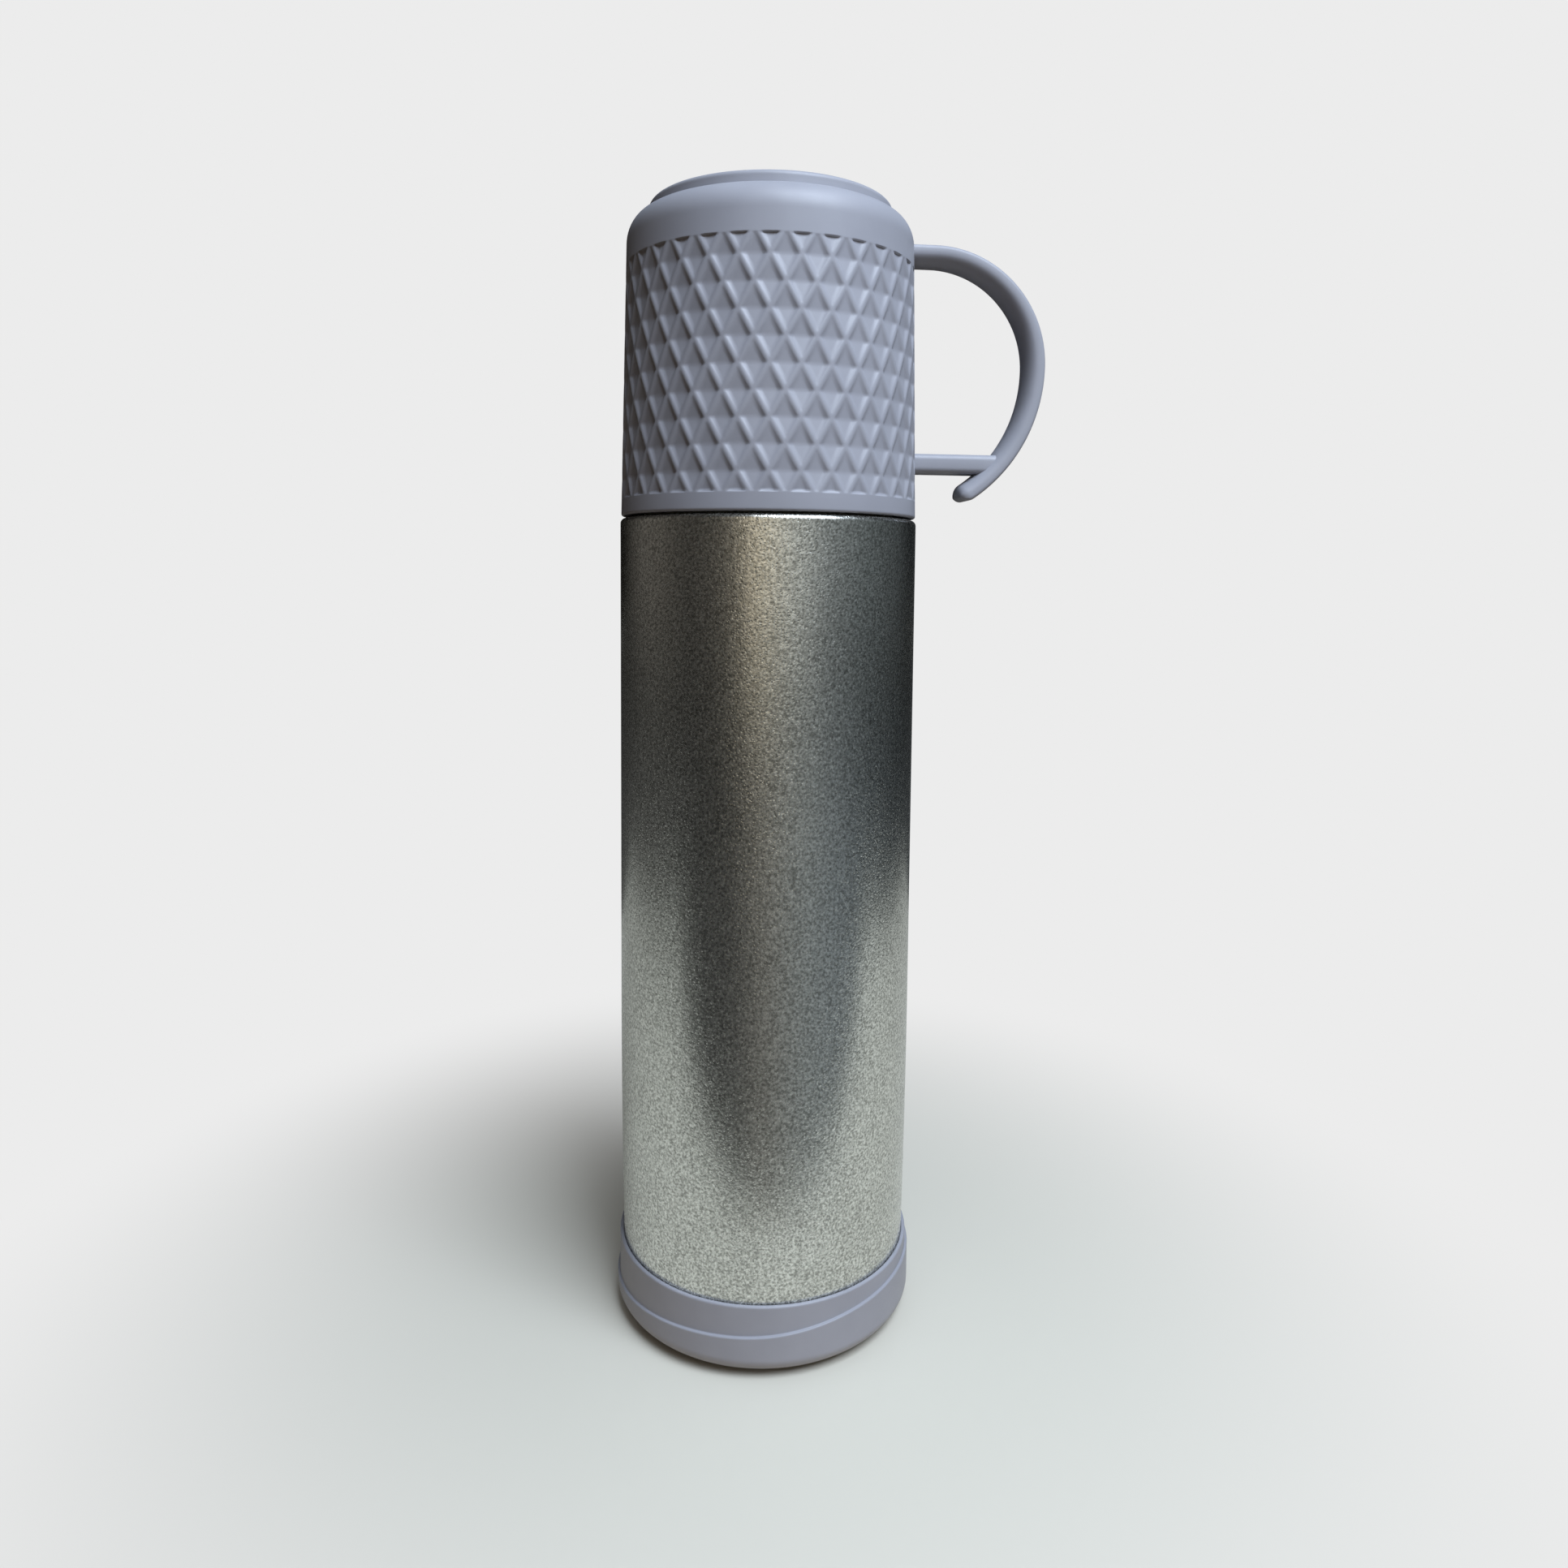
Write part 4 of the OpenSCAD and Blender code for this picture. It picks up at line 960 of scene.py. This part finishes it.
# Finishes of the nodes that keep their CAD shape
NODE_FINISH = {
    "outer_bottom": INSIDE_STEEL, "inner_bottle": INSIDE_STEEL, "inner_bottom": INSIDE_STEEL,
    "heat_foil": FOIL, "getter": GETTER, "vacuum_plug": GLASS_BEAD, "foot_pad": RUBBER,
}
for name, material in NODE_FINISH.items():
    node = frame["nodes"][name]
    if not node.material_slots:
        node.data.materials.append(material)
    for place in node.material_slots:
        place.material = material


# Studio

# The camera stands this many degrees to the left of the flask's front
CAMERA_TURN = 5.6
BACKDROP = "#ececec"

# Light level all round the flask, from the back through the left, front and right to the back again:
# the direction in degrees, 0 towards the camera and positive to its right, and its colour
SURROUNDINGS = (
    (-180, "#0c0b0a"), (-140, "#0e0d0b"), (-105, "#6a6662"), (-85, "#5c5853"), (-62, "#3c3936"),
    (-34, "#5a554f"), (-20, "#8c8477"), (-10, "#fff0d6"), (2, "#f6efde"), (18, "#dcdfdc"),
    (44, "#8b9194"), (75, "#6a7276"), (108, "#50565a"), (136, "#16181a"), (180, "#0c0b0a"),
)

# The same for the dark boards on the floor, which end the pale patch that the flask stands on
BOARD_SHADES = (
    (-180, "#3a3632"), (-105, "#625e58"), (-70, "#4c4843"), (-50, "#34302c"), (-20, "#34302c"),
    (0, "#665f56"), (30, "#72726e"), (55, "#626464"), (80, "#44484a"), (115, "#34383a"), (180, "#302d2a"),
)


def shades_round(tree, where, shades):
    """Colours that change round the flask, from (degrees, colour) pairs, and the direction's parts."""
    way = add(tree, "ShaderNodeSeparateXYZ", (where,))
    front = add(tree, MATH, (way.outputs["Y"], -1.0), operation="MULTIPLY")
    turn = add(tree, MATH, (way, front), operation="ARCTAN2")
    share = add(tree, "ShaderNodeMapRange", {"Value": turn, "From Min": -math.pi, "From Max": math.pi})
    stops = [((angle + 180 - (0 if abs(angle) == 180 else CAMERA_TURN)) / 360, code) for angle, code in shades]
    return add(tree, "ShaderNodeValToRGB", (share,), stops=stops), way


def board(name, x0, x1, y0, y1, z, material):
    """A flat board that isn't part of the object, in metres."""
    bm = bmesh.new()
    bm.faces.new([bm.verts.new(p) for p in ((x0, y0, z), (x1, y0, z), (x1, y1, z), (x0, y1, z))])
    piece = new_object(name, finish_mesh(bm, name), material=material)
    return piece


def studio_floor():
    """Pale matt floor. Away from the flask the camera sees it even, right up to the backdrop."""
    material, tree, where = new_material("studio_board")
    away = add(tree, "ShaderNodeVectorMath", (where,), operation="LENGTH").outputs["Value"]
    paths = add(tree, "ShaderNodeLightPath")
    # The steel mirrors the floor pale, and the plastic gets a weaker and warmer light back from it
    distance = add(tree, "ShaderNodeMapRange", {"Value": away, "From Min": 0.07, "From Max": 0.22})
    bounce = add(tree, "ShaderNodeValToRGB", (distance,), stops=((0.0, "#bfae98"), (1.0, "#503d2a")))
    tone = add(tree, "ShaderNodeMix", {
        0: paths.outputs["Is Diffuse Ray"], 6: linear("#c6c2b6"), 7: bounce}, data_type="RGBA")
    matt = add(tree, "ShaderNodeBsdfPrincipled", {"Base Color": tone.outputs[2], "Roughness": 0.8})
    far = add(tree, "ShaderNodeMapRange", {"Value": away, "From Min": 0.045, "From Max": 0.21},
              interpolation_type="SMOOTHSTEP")
    share = add(tree, MATH, (far, paths.outputs["Is Camera Ray"]), operation="MULTIPLY")
    even = add(tree, "ShaderNodeEmission", {"Color": linear(BACKDROP)})
    add(tree, "ShaderNodeOutputMaterial", (add(tree, "ShaderNodeMixShader", (share, matt, even)),))
    board("studio_floor", -3, 3, -3, 3, 0, material)


def dark_boards():
    """Dark boards round a pale patch. They darken what the steel mirrors, and the camera doesn't see them."""
    material, tree, where = new_material("dark_boards")
    shades, _ = shades_round(tree, where, BOARD_SHADES)
    give_surface(tree, {"Base Color": shades, "Roughness": 0.9})
    x, front_y, back_y, far = 0.34, -0.098, 0.30, 2.5
    for number, span in enumerate((
            (-far, far, -far, front_y), (-far, far, back_y, far),
            (-far, -x, front_y, back_y), (x, far, front_y, back_y))):
        card = board("dark_board_%d" % number, *span, 0.4 * MM, material)
        card.visible_camera = False
        card.visible_shadow = False
        card.visible_diffuse = False


def key_light():
    """One large soft lamp, above and to the right of the camera."""
    place, target = Vector((0.24, -0.43, 0.78)), Vector((0, 0, 0.16))
    light = bpy.data.lights.new("key", "AREA")
    light.shape = "RECTANGLE"
    light.size = light.size_y = 0.5
    light.energy = 11.6
    light.color = linear("#e2efff")[:3]
    lamp = bpy.data.objects.new("key", light)
    bpy.context.scene.collection.objects.link(lamp)
    aim = (target - place).to_track_quat("-Z", "Y")
    lamp.matrix_world = Matrix.Translation(place) @ aim.to_matrix().to_4x4()


def surroundings():
    """A pale backdrop for the camera, and for the flask a room that is lit from some sides only."""
    world = bpy.data.worlds.new("studio")
    bpy.context.scene.world = world
    world.use_nodes = True
    tree = world.node_tree
    tree.nodes.clear()
    around, way = shades_round(tree, add(tree, "ShaderNodeTexCoord").outputs["Generated"], SURROUNDINGS)
    # The surroundings are lit up to eye height and fall off above it
    fall = add(tree, "ShaderNodeMapRange", {
        "Value": way.outputs["Z"], "From Min": 0.15, "From Max": 0.85, "To Min": 1.0, "To Max": 0.4},
        interpolation_type="SMOOTHSTEP")
    paths = add(tree, "ShaderNodeLightPath")
    seen, scattered = paths.outputs["Is Camera Ray"], paths.outputs["Is Diffuse Ray"]
    # Plastic and rubber get warm light from the sides and cool light from right above
    warm = add(tree, "ShaderNodeMix", {0: 1.0, 6: around, 7: linear("#e4c4a0")},
               data_type="RGBA", blend_type="MULTIPLY").outputs[2]
    above = add(tree, "ShaderNodeMapRange", {"Value": way.outputs["Z"], "From Min": 0.5, "From Max": 1.0},
                interpolation_type="SMOOTHSTEP")
    sky = add(tree, "ShaderNodeMix", {0: above, 6: warm, 7: linear("#d6dfe9")}, data_type="RGBA").outputs[2]
    tone = add(tree, "ShaderNodeMix", {0: scattered, 6: around, 7: sky}, data_type="RGBA").outputs[2]
    colour = add(tree, "ShaderNodeMix", {0: seen, 6: tone, 7: linear(BACKDROP)}, data_type="RGBA").outputs[2]
    top_light = add(tree, MATH, (above, scattered), operation="MULTIPLY")
    less = add(tree, "ShaderNodeMapRange", {"Value": scattered, "To Min": 1.0, "To Max": 0.5})
    side_light = add(tree, MATH, (fall, less), operation="MULTIPLY")
    level = add(tree, MATH, (side_light, top_light), operation="MAXIMUM")
    strength = add(tree, "ShaderNodeMix", {0: seen, 2: level, 3: 1.0})
    add(tree, "ShaderNodeOutputWorld", (
        add(tree, "ShaderNodeBackground", {"Color": colour, "Strength": strength}),))


def camera():
    """Hand-held camera near the flask, a little tilted, at the height of its upper third."""
    side, focal, shift = 1932, 1384.66, -150.0
    lens = bpy.data.cameras.new("camera")
    lens.sensor_width = 36.0
    lens.lens = focal / side * lens.sensor_width
    lens.shift_y = shift / side
    lens.clip_start = 0.01
    eye = bpy.data.objects.new("camera", lens)
    bpy.context.scene.collection.objects.link(eye)
    yaw, pitch, roll = 0.0149368, 0.0786876, 0.00923572
    ahead = Vector((math.sin(yaw) * math.cos(pitch), math.cos(yaw) * math.cos(pitch), -math.sin(pitch)))
    right = Vector((math.cos(yaw), -math.sin(yaw), 0))
    up = right.cross(ahead)
    side_way = math.cos(roll) * right + math.sin(roll) * up
    up_way = -math.sin(roll) * right + math.cos(roll) * up
    pose = Matrix((side_way, up_way, -ahead)).transposed().to_4x4()
    pose.translation = Vector((0, -0.270574, 0.1779))
    eye.matrix_world = Matrix.Rotation(math.radians(-CAMERA_TURN), 4, "Z") @ pose
    bpy.context.scene.camera = eye


studio_floor()
dark_boards()
key_light()
surroundings()
camera()
bpy.context.scene.view_settings.view_transform = "Standard"
